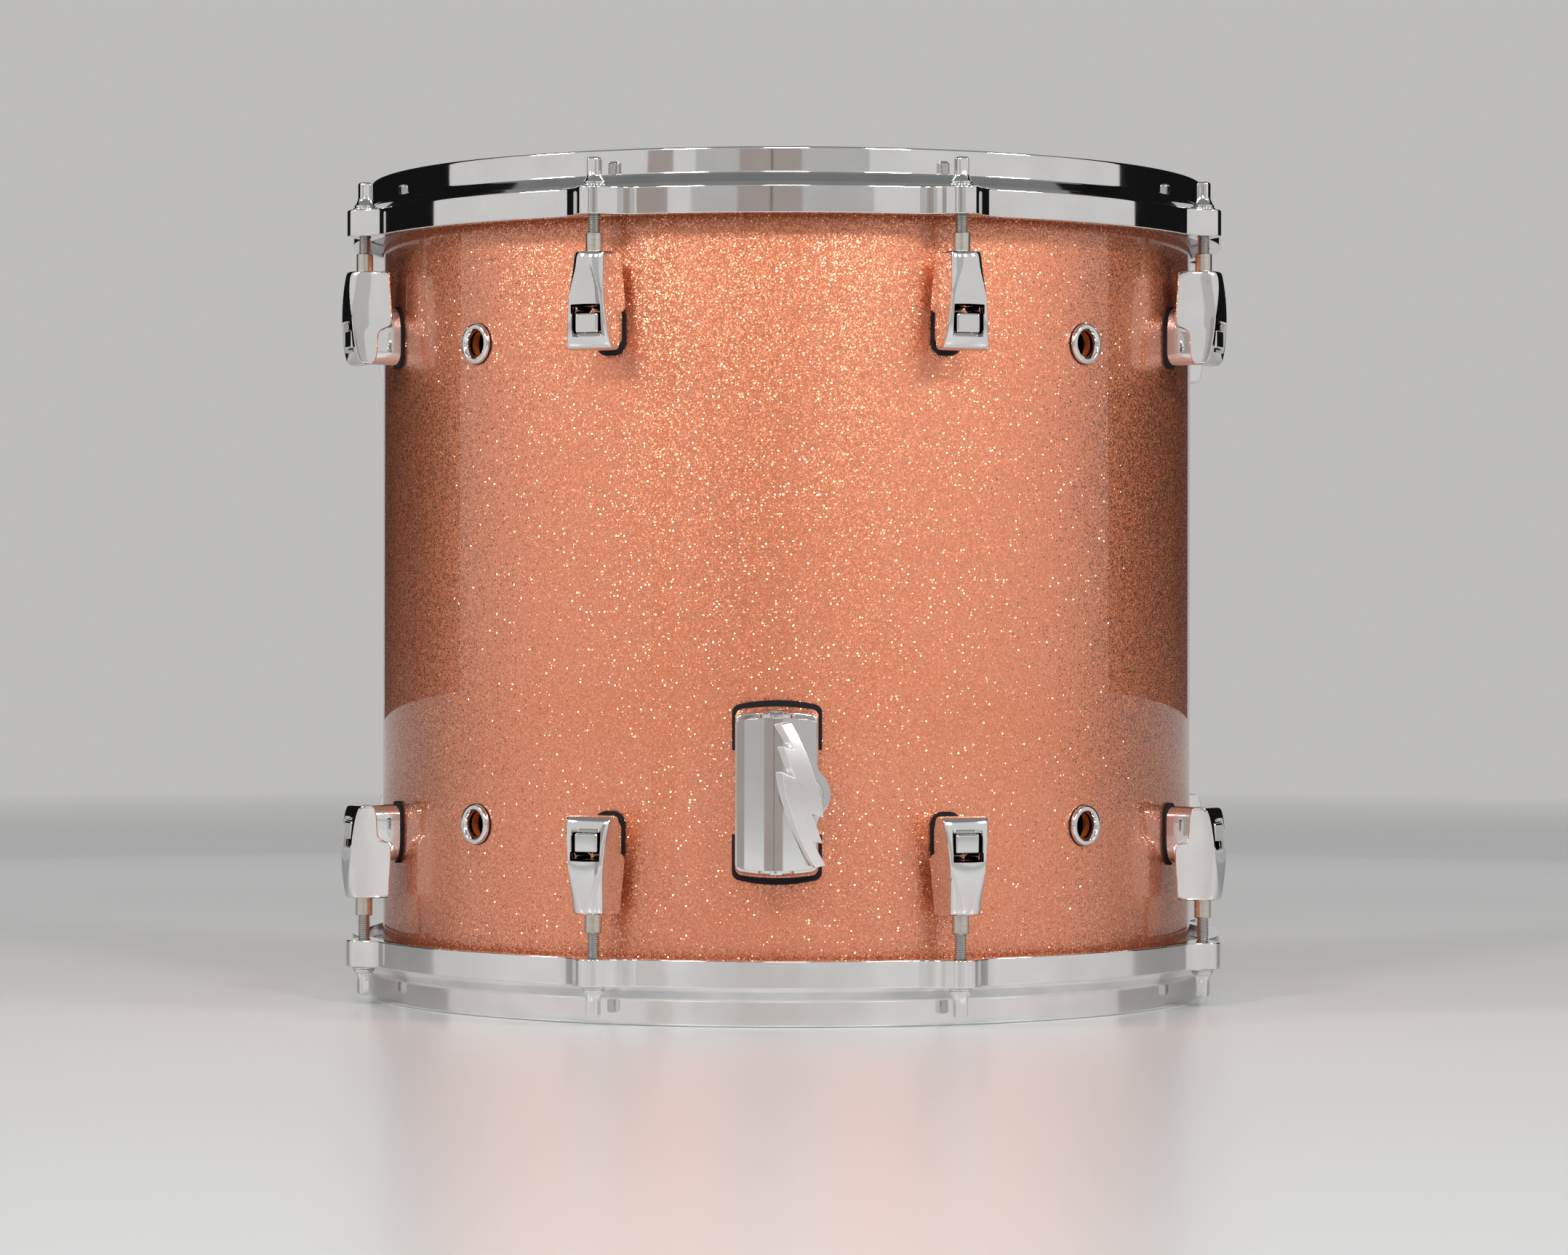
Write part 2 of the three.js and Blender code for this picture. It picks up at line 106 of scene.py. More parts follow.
def turned(name, profile, steps):
    """A piece turned about Z: a vertex is extruded through (radius, height) points and spun."""
    piece = primitive(bpy.ops.mesh.primitive_plane_add, name, size=MM)
    edit(piece)
    bpy.ops.mesh.merge(type="CENTER")
    places = [Vector((radius, 0, height)) for radius, height in profile]
    bpy.ops.transform.translate(value=places[0])
    for before, after in zip(places, places[1:]):
        bpy.ops.mesh.extrude_region_move(TRANSFORM_OT_translate={"value": after - before})
    bpy.ops.mesh.select_all(action="SELECT")
    bpy.ops.mesh.spin(steps=steps, angle=2 * math.pi, center=(0, 0, 0), axis=(0, 0, 1))
    bpy.ops.object.mode_set(mode="OBJECT")
    mend(piece, merge=True)
    return piece


class Wire:
    """One output socket in a material's tree. Sums of wires and numbers add Math nodes."""

    def __init__(self, tree, socket):
        self.tree, self.socket = tree, socket

    def node(self, kind, settings, sockets, output=0):
        """Adds a node, makes its settings, gives or links its sockets, and returns one output."""
        made = self.tree.nodes.new(kind)
        for name, value in settings.items():
            if name == "stops":
                while len(made.color_ramp.elements) < len(value):
                    made.color_ramp.elements.new(1)
                for element, (position, colour) in zip(made.color_ramp.elements, value):
                    element.position, element.color = position, colour
            else:
                setattr(made, name, value)
        for key, value in sockets.items():
            if isinstance(value, Wire):
                self.tree.links.new(value.socket, made.inputs[key])
            else:
                made.inputs[key].default_value = value
        return Wire(self.tree, made.outputs[output])

    def into(self, shader, key):
        self.tree.links.new(self.socket, shader.inputs[key])

    def mixed(self, low, high):
        """A colour between two colours, or wires of colours, with this wire as the share."""
        settings = {"data_type": "RGBA", "clamp_factor": True}
        return self.node("ShaderNodeMix", settings, {0: self, 6: low, 7: high}, output=2)

    def between(self, low, high):
        """0 where this wire is at low or less, 1 where it is at high or more."""
        sockets = {"Value": self, "From Min": low, "From Max": high}
        return self.node("ShaderNodeMapRange", {"clamp": True}, sockets)

    def tint(self, shader, low, high, first, second):
        """Colours a shader, from one colour where this wire is low to another where it is high."""
        self.between(low, high).mixed(first, second).into(shader, "Base Color")

    def stretched(self, *scale):
        """This wire of places, scaled along X, Y and Z."""
        return self.node("ShaderNodeMapping", {}, {"Vector": self, "Scale": scale})

    def noise(self, size, detail):
        """Soft noise over this wire of places, with blobs of about that size."""
        return self.node("ShaderNodeTexNoise", {}, {"Vector": self, "Scale": 1 / size, "Detail": detail})

    def bump(self, shader, height):
        """Feeds this wire of 0 to 1 into the shader's normal, as a relief of that height."""
        self.node("ShaderNodeBump", {}, {"Height": self, "Distance": height}).into(shader, "Normal")

    def combine(self, operation, first, second):
        return self.node("ShaderNodeMath", {"operation": operation}, {0: first, 1: second})

    def __add__(self, other):
        return self.combine("ADD", self, other)

    def __sub__(self, other):
        return self.combine("SUBTRACT", self, other)

    def __rsub__(self, other):
        return self.combine("SUBTRACT", other, self)

    def __mul__(self, other):
        return self.combine("MULTIPLY", self, other)

    __radd__ = __add__
    __rmul__ = __mul__


def new_material(name, **values):
    """A material with constants on its shader: returns it, the shader and a wire of places."""
    material = bpy.data.materials.new(name)
    material.use_nodes = True
    shader = material.node_tree.nodes["Principled BSDF"]
    for key, value in values.items():
        shader.inputs[key.replace("_", " ")].default_value = value
    coordinates = material.node_tree.nodes.new("ShaderNodeTexCoord")
    return material, shader, Wire(material.node_tree, coordinates.outputs["Object"])


floor_radius = 7
floor_steps = 128
wall_height = 6
sweep = 4
sweep_steps = 24
pale_ground = (0.88, 0.88, 0.875, 1)
far_ground_painted_shade = (0.62, 0.62, 0.62, 1)
backdrop = (0.51, 0.505, 0.495, 1)
# From the middle, in metres: where the ground darkens with painted shade, loses its gloss and turns into
# backdrop
painted_darkening, dulling, fading = (1.2, 3), (0.7, 1.4), (1.3, 2.7)
ground_gloss = 0.5
sweep_angles = [math.pi / 2 * i / sweep_steps for i in range(sweep_steps + 1)]
sweep_points = [
    (floor_radius - sweep + sweep * math.sin(angle), sweep - sweep * math.cos(angle))
    for angle in sweep_angles
]
floor = turned("studio_floor", [(0, 0), *sweep_points, (floor_radius, wall_height)], floor_steps)
floor.data.flip_normals()
bpy.ops.object.shade_smooth()
ground, ground_shader, places = new_material("pale_floor", Roughness=0.28)
from_middle = places.node("ShaderNodeVectorMath", {"operation": "LENGTH"}, {0: places}, "Value")
# Painted shade: the ground is coloured darker away from the middle, standing in for the light falling off
# there
from_middle.tint(ground_shader, *painted_darkening, pale_ground, far_ground_painted_shade)
((1 - from_middle.between(*dulling)) * ground_gloss).into(ground_shader, "Specular IOR Level")
seen = places.node("ShaderNodeLightPath", {}, {}, "Is Camera Ray")
for kind in ("Is Glossy Ray", "Is Transmission Ray"):
    seen = seen.combine("MAXIMUM", seen, places.node("ShaderNodeLightPath", {}, {}, kind))
glow = places.node("ShaderNodeEmission", {}, {"Color": backdrop})
lit = Wire(ground.node_tree, ground_shader.outputs["BSDF"])
blend = {"Fac": seen * from_middle.between(*fading), 1: lit, 2: glow}
ground_output = ground.node_tree.nodes["Material Output"]
places.node("ShaderNodeMixShader", {}, blend).into(ground_output, "Surface")
floor.data.materials.append(ground)

# Five small softboxes stand over the front, and two wide panels at the sides fill the chrome
shell_middle = drum_axis + Vector((0, 0, (shell_low.z + shell_high.z) / 2))
lamp_distance = 3.4
high_lamps = ((-68, 21), (-27, 22), (1, 12), (29, 21.5), (66, 21))
high_elevation, high_size = 31, (0.6, 0.45)
panel_bearings, panel_elevation, panel_size, panel_energy = (-62, 62), 12, (5.5, 3.0), 10


def softbox(name, bearing, elevation, size, energy):
    """An area lamp aimed at the middle of the shell. Bearing 0 is in front, 90 to the right."""
    across, up = math.radians(bearing), math.radians(elevation)
    way = Vector((math.sin(across) * math.cos(up), -math.cos(across) * math.cos(up), math.sin(up)))
    bpy.ops.object.light_add(type="AREA", location=shell_middle + way * lamp_distance)
    lamp = bpy.context.object
    lamp.name = name
    lamp.data.shape = "RECTANGLE"
    lamp.data.size, lamp.data.size_y = size
    lamp.data.energy = energy
    lamp.rotation_mode = "QUATERNION"
    lamp.rotation_quaternion = (-way).to_track_quat("-Z", "Y")
    lamp.visible_camera = False


for bearing, energy in high_lamps:
    softbox(f"high_softbox_{bearing}", bearing, high_elevation, high_size, energy)
for bearing in panel_bearings:
    softbox(f"side_panel_{bearing}", bearing, panel_elevation, panel_size, panel_energy)

# Two dark flags behind the drum, beside the picture, give its polished sides something dark, and
# three duller screens in front, two with a thin dark seam between them, stripe the clamp's face
add_grid = bpy.ops.mesh.primitive_grid_add
# How far off they stand, and how high they are
flag_place = 3.6, 4
screen_place = 1.2, 0.62
screen_columns = 24


def flag(name, first, last, place, cloth):
    """A curved screen from one bearing to another, which only polished surfaces see."""
    distance, height = place
    screen = primitive(add_grid, name, x_subdivisions=screen_columns, y_subdivisions=1, size=1)
    for vertex in screen.data.vertices:
        bearing = math.radians(first + (last - first) * (vertex.co.x + 0.5))
        way = Vector((math.sin(bearing), -math.cos(bearing), 0))
        vertex.co = drum_axis + way * distance + Vector((0, 0, height * (vertex.co.y + 0.5)))
    screen.data.materials.append(cloth)
    screen.visible_camera = screen.visible_diffuse = screen.visible_shadow = False


flag_cloth, *_ = new_material(
    "dark_flag", Base_Color=(0.012, 0.012, 0.012, 1), Roughness=0.9, Specular_IOR_Level=0.1
)
dull_glow = {"Emission_Color": (0.4, 0.35, 0.33, 1), "Emission_Strength": 1}
dull_cloth, *_ = new_material("dull_screen", Base_Color=(0, 0, 0, 1), Specular_IOR_Level=0, **dull_glow)
for name, first, last, place, cloth in (
    ("right_flag", 100.5, 160, flag_place, flag_cloth),
    ("left_flag", -100.5, -160, flag_place, flag_cloth),
    ("left_screen", -10.2, -2.55, screen_place, dull_cloth),
    ("screen_seam", -2.55, -2.25, screen_place, flag_cloth),
    ("side_screen", -33, -26.5, screen_place, dull_cloth),
    ("right_screen", -2.25, 4.7, screen_place, dull_cloth),
):
    flag(name, first, last, place, cloth)

world = bpy.data.worlds.new("studio")
bpy.context.scene.world = world
world.use_nodes = True
surroundings = world.node_tree.nodes["Background"].inputs
surroundings["Color"].default_value = (0.8, 0.81, 0.83, 1)
surroundings["Strength"].default_value = 0.3

# Shell
# A laminated wooden tube with a bevelled bearing edge at each end, sprayed outside with copper
# glitter lacquer under a thick clear coat, and varnished inside. Four vents go through its wall.
shell_radius = (shell_high.x - shell_low.x) / 2
shell_wall = 6.5 * MM
edge_outer = 2.5 * MM
edge_inner = 4 * MM
edge_round = 0.8 * MM
shell_inner = shell_radius - shell_wall
shell_steps = 256


def rounded(corners, steps=4):
    """A closed profile whose corners (x, y, rounding) become arcs of a few points."""
    profile = []
    for i, (x, y, rounding) in enumerate(corners):
        here = Vector((x, y))
        before = (Vector(corners[i - 1][:2]) - here).normalized() * rounding
        after = (Vector(corners[(i + 1) % len(corners)][:2]) - here).normalized() * rounding
        for step in range(steps + 1 if rounding else 1):
            share = step / steps
            profile.append(here + before * (1 - share) ** 2 + after * share**2)
    return [(point.x, point.y) for point in profile]


def ring(name, corners, steps, arc_steps=4):
    """A ring turned from a closed section, with its corners as in rounded."""
    section = rounded(corners, arc_steps)
    return turned(name, [*section, section[0]], steps)


def smooth(piece, material=None, degrees=35):
    """Shades a piece smooth, except at edges sharper than an angle, and gives it a material."""
    only(piece)
    bpy.ops.object.shade_smooth_by_angle(angle=math.radians(degrees))
    if material:
        piece.data.materials.append(material)


def modify(piece, kind, **settings):
    """Adds a modifier with its settings and applies it."""
    modifier = piece.modifiers.new(kind.lower(), kind)
    for name, value in settings.items():
        setattr(modifier, name, value)
    only(piece)
    bpy.ops.object.modifier_apply(modifier=modifier.name)


def cut(piece, tool, operation="DIFFERENCE"):
    """Cuts a piece with a tool, or joins the two, and deletes the tool."""
    modify(piece, "BOOLEAN", operation=operation, object=tool, solver="MANIFOLD")
    piece.data.materials.clear()
    bpy.data.objects.remove(tool)


def place_mesh(piece, matrix):
    """Moves a piece's mesh, and leaves the object at the origin."""
    piece.matrix_world = matrix
    only(piece)
    bpy.ops.object.transform_apply()
    return piece


def on_drum(degrees, radius, height, is_upper=True):
    """A place on the drum: +X outwards, +Y to the right, +Z up, turned over for the lower head."""
    half_turn = Matrix() if is_upper else Matrix.Rotation(math.pi, 4, "X")
    station = Matrix.Rotation(math.radians(degrees - 90), 4, "Z")
    return Matrix.Translation(drum_axis) @ station @ Matrix.Translation((radius, 0, height)) @ half_turn


# The bearing that leaves a round piece as it was turned
unturned = 90


def put(model, name, matrix):
    """A copy of a finished model, with its own mesh, at a place on the drum."""
    copy = model.copy()
    copy.data = model.data.copy()
    copy.name = copy.data.name = name
    bpy.context.scene.collection.objects.link(copy)
    return place_mesh(copy, matrix)


shell = ring(
    "drum_shell",
    [
        (shell_inner, shell_low.z + edge_inner, 0),
        (shell_radius - edge_outer, shell_low.z, edge_round),
        (shell_radius, shell_low.z + edge_outer, edge_round),
        (shell_radius, shell_high.z - edge_outer, edge_round),
        (shell_radius - edge_outer, shell_high.z, edge_round),
        (shell_inner, shell_high.z - edge_inner, 0),
    ],
    shell_steps,
)
place_mesh(shell, Matrix.Translation(drum_axis))
vent_radius = 7.2 * MM
vent_from_end = 77.3 * MM
vent_bearings = (45, -45)
vent_heights = (shell_low.z + vent_from_end, shell_high.z - vent_from_end)
lying_out = Matrix.Rotation(math.pi / 2, 4, "Y")
vent_places = [on_drum(bearing, shell_radius, height) for bearing in vent_bearings for height in vent_heights]
add_cylinder = bpy.ops.mesh.primitive_cylinder_add
for place in vent_places:
    drill = primitive(add_cylinder, "drill", vertices=48, radius=vent_radius, depth=4 * shell_wall)
    drill.matrix_world = place @ lying_out
    cut(shell, drill)
smooth(shell)

# The lacquer: flakes of about half a millimetre, each tilted its own way, the darker ones duller,
# and here and there a bigger, smoother and more tilted flake that sparkles
flake_size, sparkle_size, patch_size = 0.5 * MM, 1.25 * MM, 0.9 * MM
flake_tilt, sparkle_tilt = 0.3, 0.65
untilted = (0.5, 0.5, 0.36)
spark_edge = (0.27, 0.36)
spark_colour = (0.97, 0.44, 0.26, 1)
dull_roughness, gloss, spark_roughness = 0.6, 0.36, 0.14
gloss_range = (0.38, 0.62)
copper_stops = [(0.3, (0.72, 0.215, 0.1, 1)), (0.7, (0.9, 0.35, 0.2, 1))]
lacquer, lacquer_shader, places = new_material(
    "copper_glitter_lacquer",
    Metallic=0.9,
    Specular_IOR_Level=0.2,
    Coat_Weight=1,
    Coat_Roughness=0.015,
)
flakes = places.node("ShaderNodeTexVoronoi", {}, {"Vector": places, "Scale": 1 / flake_size}, "Color")
chance = places.node("ShaderNodeSeparateColor", {}, {"Color": flakes}, "Red")
shade = chance * 0.5 + places.noise(patch_size, detail=2) * 0.5
copper = places.node("ShaderNodeValToRGB", {"stops": copper_stops}, {"Fac": shade})
speckle = {"Vector": places, "Scale": 1 / sparkle_size}
from_speck = places.node("ShaderNodeTexVoronoi", {}, speckle, "Distance")
speck_colour = places.node("ShaderNodeTexVoronoi", {}, speckle, "Color")
spark = 1 - from_speck.between(*spark_edge)
spark.mixed(copper, spark_colour).into(lacquer_shader, "Base Color")
roughness = dull_roughness - shade.between(*gloss_range) * gloss
(roughness * (1 - spark) + spark * spark_roughness).into(lacquer_shader, "Roughness")
facing = spark.mixed(flakes, speck_colour)
lean = places.node("ShaderNodeVectorMath", {"operation": "SUBTRACT"}, {0: facing, 1: untilted})
outward = places.node("ShaderNodeNewGeometry", {}, {}, "Normal")
tilt = flake_tilt + spark * (sparkle_tilt - flake_tilt)
tilts = {0: lean, 1: places.node("ShaderNodeCombineXYZ", {}, {0: tilt, 1: tilt, 2: tilt}), 2: outward}
tilted = places.node("ShaderNodeVectorMath", {"operation": "MULTIPLY_ADD"}, tilts)
places.node("ShaderNodeVectorMath", {"operation": "NORMALIZE"}, {0: tilted}).into(lacquer_shader, "Normal")
shell.data.materials.append(lacquer)

# The wood inside: upright grain under thin varnish
wood, wood_shader, places = new_material("varnished_wood", Roughness=0.4, Coat_Weight=0.3)
grain = places.stretched(420, 420, 12).noise(1, detail=5)
grain.tint(wood_shader, 0.3, 0.7, (0.58, 0.1, 0.016, 1), (0.9, 0.23, 0.045, 1))
shell.data.materials.append(wood)
for face in shell.data.polygons:
    from_axis = math.hypot(face.center.x - drum_axis.x, face.center.y - drum_axis.y)
    face.material_index = 0 if from_axis > shell_radius - edge_outer * 0.9 else 1


def finished(piece, body, slot, *nodes):
    """Says which body a piece rides on, and hides the CAD nodes it stands for. Its slot, the finish, is not
    used.
    """
    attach(piece, body)
    if nodes:
        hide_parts(*nodes)


finished(shell, "drum", "lacquered_shell", "shell")

# Heads
# A coated polyester film, crimped down over the bearing edge into an aluminium flesh hoop that the
# cast hoop presses on. Both are turned, and the lower head is the upper one turned over.
film_thickness = 0.6 * MM
film_above_edge = 0.9 * MM
collar_radius = shell_radius + 1.1 * MM
flesh_inner = shell_radius + 0.4 * MM
flesh_outer = shell_radius + 8.4 * MM
flesh_height = 7.4 * MM
batter_collar_drop = 9.1 * MM
resonant_collar_drop = 5.6 * MM
head_steps = 192

film_coat, film_shader, places = new_material("coated_film", Roughness=0.6)
grain = places.noise(0.35 * MM, detail=4)
shade = grain * 0.35 + places.noise(40 * MM, detail=2) * 0.65
shade.tint(film_shader, 0.3, 0.7, (0.78, 0.77, 0.73, 1), (0.86, 0.855, 0.82, 1))
grain.bump(film_shader, 0.05 * MM)

aluminium, aluminium_shader, places = new_material("rolled_aluminium", Metallic=1, Roughness=0.34)
rolled = places.stretched(60, 60, 2600).noise(1, detail=3)
rolled.tint(aluminium_shader, 0.3, 0.7, (0.6, 0.6, 0.61, 1), (0.74, 0.74, 0.75, 1))


def head_models(drop):
    """Film and flesh hoop of one head, with the film's face at z = 0 and the shell below it."""
    under = -film_thickness
    seat = under - drop
    tip = seat - flesh_height / 3
    crest = shell_radius - edge_outer
    film = turned(
        "film",
        rounded(
            [
                (0, 0, 0),
                (crest + 0.6 * MM, 0, 1.2 * MM),
                (collar_radius + 0.4 * MM, -3.2 * MM, 1.2 * MM),
                (collar_radius + 0.4 * MM, tip, 0),
                (collar_radius - 0.2 * MM, tip, 0),
                (collar_radius - 0.2 * MM, -3.4 * MM, 1 * MM),
                (crest, under, 1 * MM),
                (0, under, 0),
            ]
        ),
        head_steps,
    )
    hoop = ring(
        "flesh_hoop",
        [
            (flesh_inner, seat - flesh_height, 0.9 * MM),
            (flesh_outer, seat - flesh_height, 0.9 * MM),
            (flesh_outer, seat, 1.6 * MM),
            (flesh_inner, seat, 0.4 * MM),
        ],
        head_steps,
    )
    smooth(film, film_coat)
    smooth(hoop, aluminium)
    return film, hoop


heads = {
    "batter": (shell_high.z + film_above_edge, batter_collar_drop, True),
    "resonant": (shell_low.z - film_above_edge, resonant_collar_drop, False),
}
for head, (height, drop, is_upper) in heads.items():
    film, flesh_hoop = head_models(drop)
    film.name = film.data.name = f"{head}_film"
    flesh_hoop.name = flesh_hoop.data.name = f"{head}_flesh_hoop"
    for piece, slot in ((film, "drum_film"), (flesh_hoop, "plated_rod")):
        place_mesh(piece, on_drum(unturned, 0, height, is_upper))
        finished(piece, "drum", slot, f"{head}_head")

# Cast hoops
# Die cast zinc under polished chrome: a rim ring, a sloped shoulder and a wider band with eight
# ears for the rods. The profile is spun, then the band's wall is pulled out to the ears' outline.
lugs_per_head = 8
ring_inner = shell_radius + 2.4 * MM
ring_outer = ring_inner + 3.9 * MM
band_inner = shell_radius + 9.2 * MM
band_outer = band_inner + 6.19 * MM
ring_height = 12.2 * MM
ear_top = ring_height + 6 * MM
hoop_height = ear_top + 12.9 * MM
hoop_seat = 17.5 * MM
ring_round = 1.3 * MM
band_round = 0.9 * MM
rod_circle = shell_radius + 17.7 * MM
boss_radius = 8.5 * MM
boss_angle = math.radians(54)
boss_reach, boss_rise = boss_radius * math.sin(boss_angle), boss_radius * math.cos(boss_angle)
ear_spread = 21 * MM
fillet_power = 2.1
rod_hole_radius = 3.4 * MM
spot_face_radius = 6.1 * MM
columns_per_ear = 72
column_crowding = 1.9

hoop = ring(
    "cast_hoop",
    [
        (ring_inner, -hoop_seat, 0.4 * MM),
        (ring_inner, 0, ring_round),
        (ring_outer, 0, ring_round),
        (ring_outer, -ring_height, 1 * MM),
        (band_outer - 1.3 * MM, -ear_top, 0),
        (band_outer, -ear_top, band_round),
        (band_outer, -hoop_height, 0.6 * MM),
        (band_inner, -hoop_height, 0.5 * MM),
        (band_inner, -hoop_seat, 0),
    ],
    lugs_per_head * columns_per_ear,
    arc_steps=5,
)


def ear_outline(across):
    """How far out the band's wall is, in the ear's frame, at a distance from the rod's axis."""
    across = abs(across)
    if across < boss_reach:
        return rod_circle + math.sqrt(boss_radius**2 - across**2)
    band = math.sqrt(band_outer**2 - across**2)
    if across > ear_spread:
        return band
    left = (ear_spread - across) / (ear_spread - boss_reach)
    return band + (rod_circle + boss_rise - math.sqrt(band_outer**2 - boss_reach**2)) * left**fillet_power


half_sector = math.pi / lugs_per_head
band_edge = band_outer - band_round - 0.05 * MM
for vertex in hoop.data.vertices:
    x, y, z = vertex.co
    angle, radius = math.atan2(y, x) % (2 * half_sector), math.hypot(x, y)
    sector = math.atan2(y, x) - angle
    share = angle / half_sector - 1
    across = math.copysign(abs(share) ** column_crowding, share) * band_outer * math.sin(half_sector)
    out = ear_outline(across)
    bent = sector + half_sector + math.atan2(across, out)
    if radius > band_edge:
        radius += math.hypot(out, across) - band_outer
    vertex.co = (radius * math.cos(bent), radius * math.sin(bent), z)

drill_profile = [
    (0, -2 * hoop_height),
    (rod_hole_radius, -2 * hoop_height),
    (rod_hole_radius, -ear_top),
    (spot_face_radius, -ear_top),
    (spot_face_radius, hoop_height),
    (0, hoop_height),
]


def join(piece, *others):
    """Makes one object of several, which takes the first one's name."""
    only(piece)
    for other in others:
        other.select_set(True)
    bpy.ops.object.join()


def crisp(piece, material=None, degrees=30):
    """Smooths a machined or cast piece, and keeps its flat faces flat."""
    smooth(piece, material, degrees)
    modify(piece, "WEIGHTED_NORMAL", keep_sharp=True)


drills = []
for i in range(lugs_per_head):
    angle = 2 * half_sector * (i + 0.5)
    place = Matrix.Translation((rod_circle * math.cos(angle), rod_circle * math.sin(angle), 0))
    drills.append(place_mesh(turned("drill", drill_profile, steps=48), place))
join(*drills)
cut(hoop, drills[0])

# Chrome plate: a mirror with faint smears in its polish
chrome, chrome_shader, places = new_material("polished_chrome", Metallic=1)
smears = places.noise(22 * MM, detail=4)
smears.tint(chrome_shader, 0.35, 0.65, (0.75, 0.747, 0.742, 1), (0.81, 0.807, 0.8, 1))
(smears * 0.07 + 0.015).into(chrome_shader, "Roughness")
places.noise(9 * MM, detail=1).bump(chrome_shader, 0.006 * MM)
crisp(hoop, chrome, degrees=28)


def spread(places, models, node="", body="drum"):
    """Copies each (model, name, slot) to each place, whose key fills the braces in the names.

    The models themselves are then deleted.
    """
    for key, place in places.items():
        nodes = [node.format(*key)] if node else []
        for model, name, slot in models:
            finished(put(model, name.format(*key), place), body.format(*key), slot, *nodes)
    for model, *_ in models:
        bpy.data.objects.remove(model)


overall_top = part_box("batter_hoop")[1].z
hoop_places = {
    ("batter",): on_drum(unturned, 0, overall_top),
    ("resonant",): on_drum(unturned, 0, 0, is_upper=False),
}
spread(hoop_places, [(hoop, "{}_cast_hoop", "cast_chrome")], "{}_hoop")

# Tension rods
# Polished plated steel: a threaded shaft, a turned neck that flares down to a loose washer, and a
# square head for the drum key. Each rod turns in its ear and in the lug's sleeve.
rod_radius = 2.95 * MM
rod_core = rod_radius - 0.55 * MM
thread_pitch = 1.06 * MM
thread_start = -10 * MM
rod_length = 52 * MM
thread_end_bevel = 0.6 * MM
key_width = 5.9 * MM
key_round = 1.5 * MM
key_height = 6.2 * MM
washer_radius = 5.6 * MM
washer_thickness = 1.1 * MM
flange_top = 2.7 * MM
neck_top = 7.6 * MM
neck_radius = 3 * MM
rod_seat = 0.3 * MM

rod = turned(
    "key_rod",
    [
        (0, -rod_length),
        (rod_core - thread_end_bevel, -rod_length),
        (rod_core, thread_end_bevel - rod_length),
        (rod_core, thread_start - 0.4 * MM),
        (rod_radius, thread_start),
        (rod_radius, washer_thickness),
        (washer_radius - 0.9 * MM, washer_thickness + 0.05 * MM),
        (washer_radius - 0.5 * MM, washer_thickness + 0.35 * MM),
        (washer_radius - 0.5 * MM, flange_top - 0.5 * MM),
        (washer_radius - 0.8 * MM, flange_top - 0.15 * MM),
        (washer_radius - 1.2 * MM, flange_top + 0.25 * MM),
        (neck_radius + 1 * MM, flange_top + 1.1 * MM),
        (neck_radius + 0.65 * MM, flange_top + 2 * MM),
        (neck_radius + 0.35 * MM, flange_top + 3 * MM),
        (neck_radius + 0.1 * MM, neck_top - 0.7 * MM),
        (neck_radius - 0.4 * MM, neck_top - 0.1 * MM),
        (neck_radius - 0.8 * MM, neck_top),
        (0, neck_top),
    ],
    steps=40,
)


def bevel(piece, width, segments, degrees):
    """Rounds a piece's edges where its faces meet at more than an angle."""
    limit = {"limit_method": "ANGLE", "angle_limit": math.radians(degrees)}
    modify(piece, "BEVEL", width=width, segments=segments, **limit)


# The square head, with all its edges rounded off, stands in the cone of the neck
key = primitive(bpy.ops.mesh.primitive_cube_add, "key", size=1)
key.scale = (key_width, key_width, neck_top + key_height - flange_top)
key.location.z = (neck_top + key_height + flange_top) / 2
only(key)
bpy.ops.object.transform_apply()
bevel(key, key_round, segments=6, degrees=20)
cut(rod, key, "UNION")
crisp(rod, degrees=32)

# The thread is one pitch of a ridge carried up the shaft as a screw
ridge = primitive(bpy.ops.mesh.primitive_plane_add, "thread_ridge", size=1)
foot_share, crest_share = 0.46, 0.12
ridge_foot = rod_core - 0.1 * MM
thread_steps = 18
ridge_corners = [
    (ridge_foot, -foot_share),
    (rod_radius, -crest_share),
    (rod_radius, crest_share),
    (ridge_foot, foot_share),
]
corners_in_turn = sorted(ridge.data.vertices, key=lambda vertex: math.atan2(vertex.co.y, -vertex.co.x))
for (radius, share), vertex in zip(ridge_corners, corners_in_turn):
    vertex.co = (radius, 0, share * thread_pitch + thread_pitch - rod_length)
turns = int((rod_length + thread_start) / thread_pitch) - 1
edit(ridge)
bpy.ops.mesh.delete(type="ONLY_FACE")
bpy.ops.object.mode_set(mode="OBJECT")
modify(
    ridge,
    "SCREW",
    screw_offset=thread_pitch,
    iterations=turns,
    steps=thread_steps,
    render_steps=thread_steps,
    use_merge_vertices=True,
    merge_threshold=MM / 1000,
)
mend(ridge, fill=True)
smooth(ridge, degrees=40)
join(rod, ridge)
steel, *_ = new_material("plated_thread", Metallic=1, Base_Color=(0.56, 0.555, 0.545, 1), Roughness=0.2)
rod.data.materials.clear()
rod.data.materials.append(chrome)
rod.data.materials.append(steel)
for face in rod.data.polygons:
    face.material_index = 0 if face.center.z > 0 else 1

washer_hole = rod_radius + 0.15 * MM
washer = ring(
    "rod_washer",
    [
        (washer_hole, rod_seat, 0),
        (washer_radius, rod_seat, 0.25 * MM),
        (washer_radius, washer_thickness, 0.3 * MM),
        (washer_hole, washer_thickness, 0),
    ],
    steps=48,
    arc_steps=3,
)
smooth(washer, chrome)

lug_bearings = [360 / lugs_per_head * (i + 0.5) for i in range(lugs_per_head)]


def at_rods(heights):
    """The place of each rod, or of its lug, by head and number, from the two heads' heights."""
    return {
        (head, i): on_drum(bearing, rod_circle, height, head == "batter")
        for head, height in heights.items()
        for i, bearing in enumerate(lug_bearings, 1)
    }


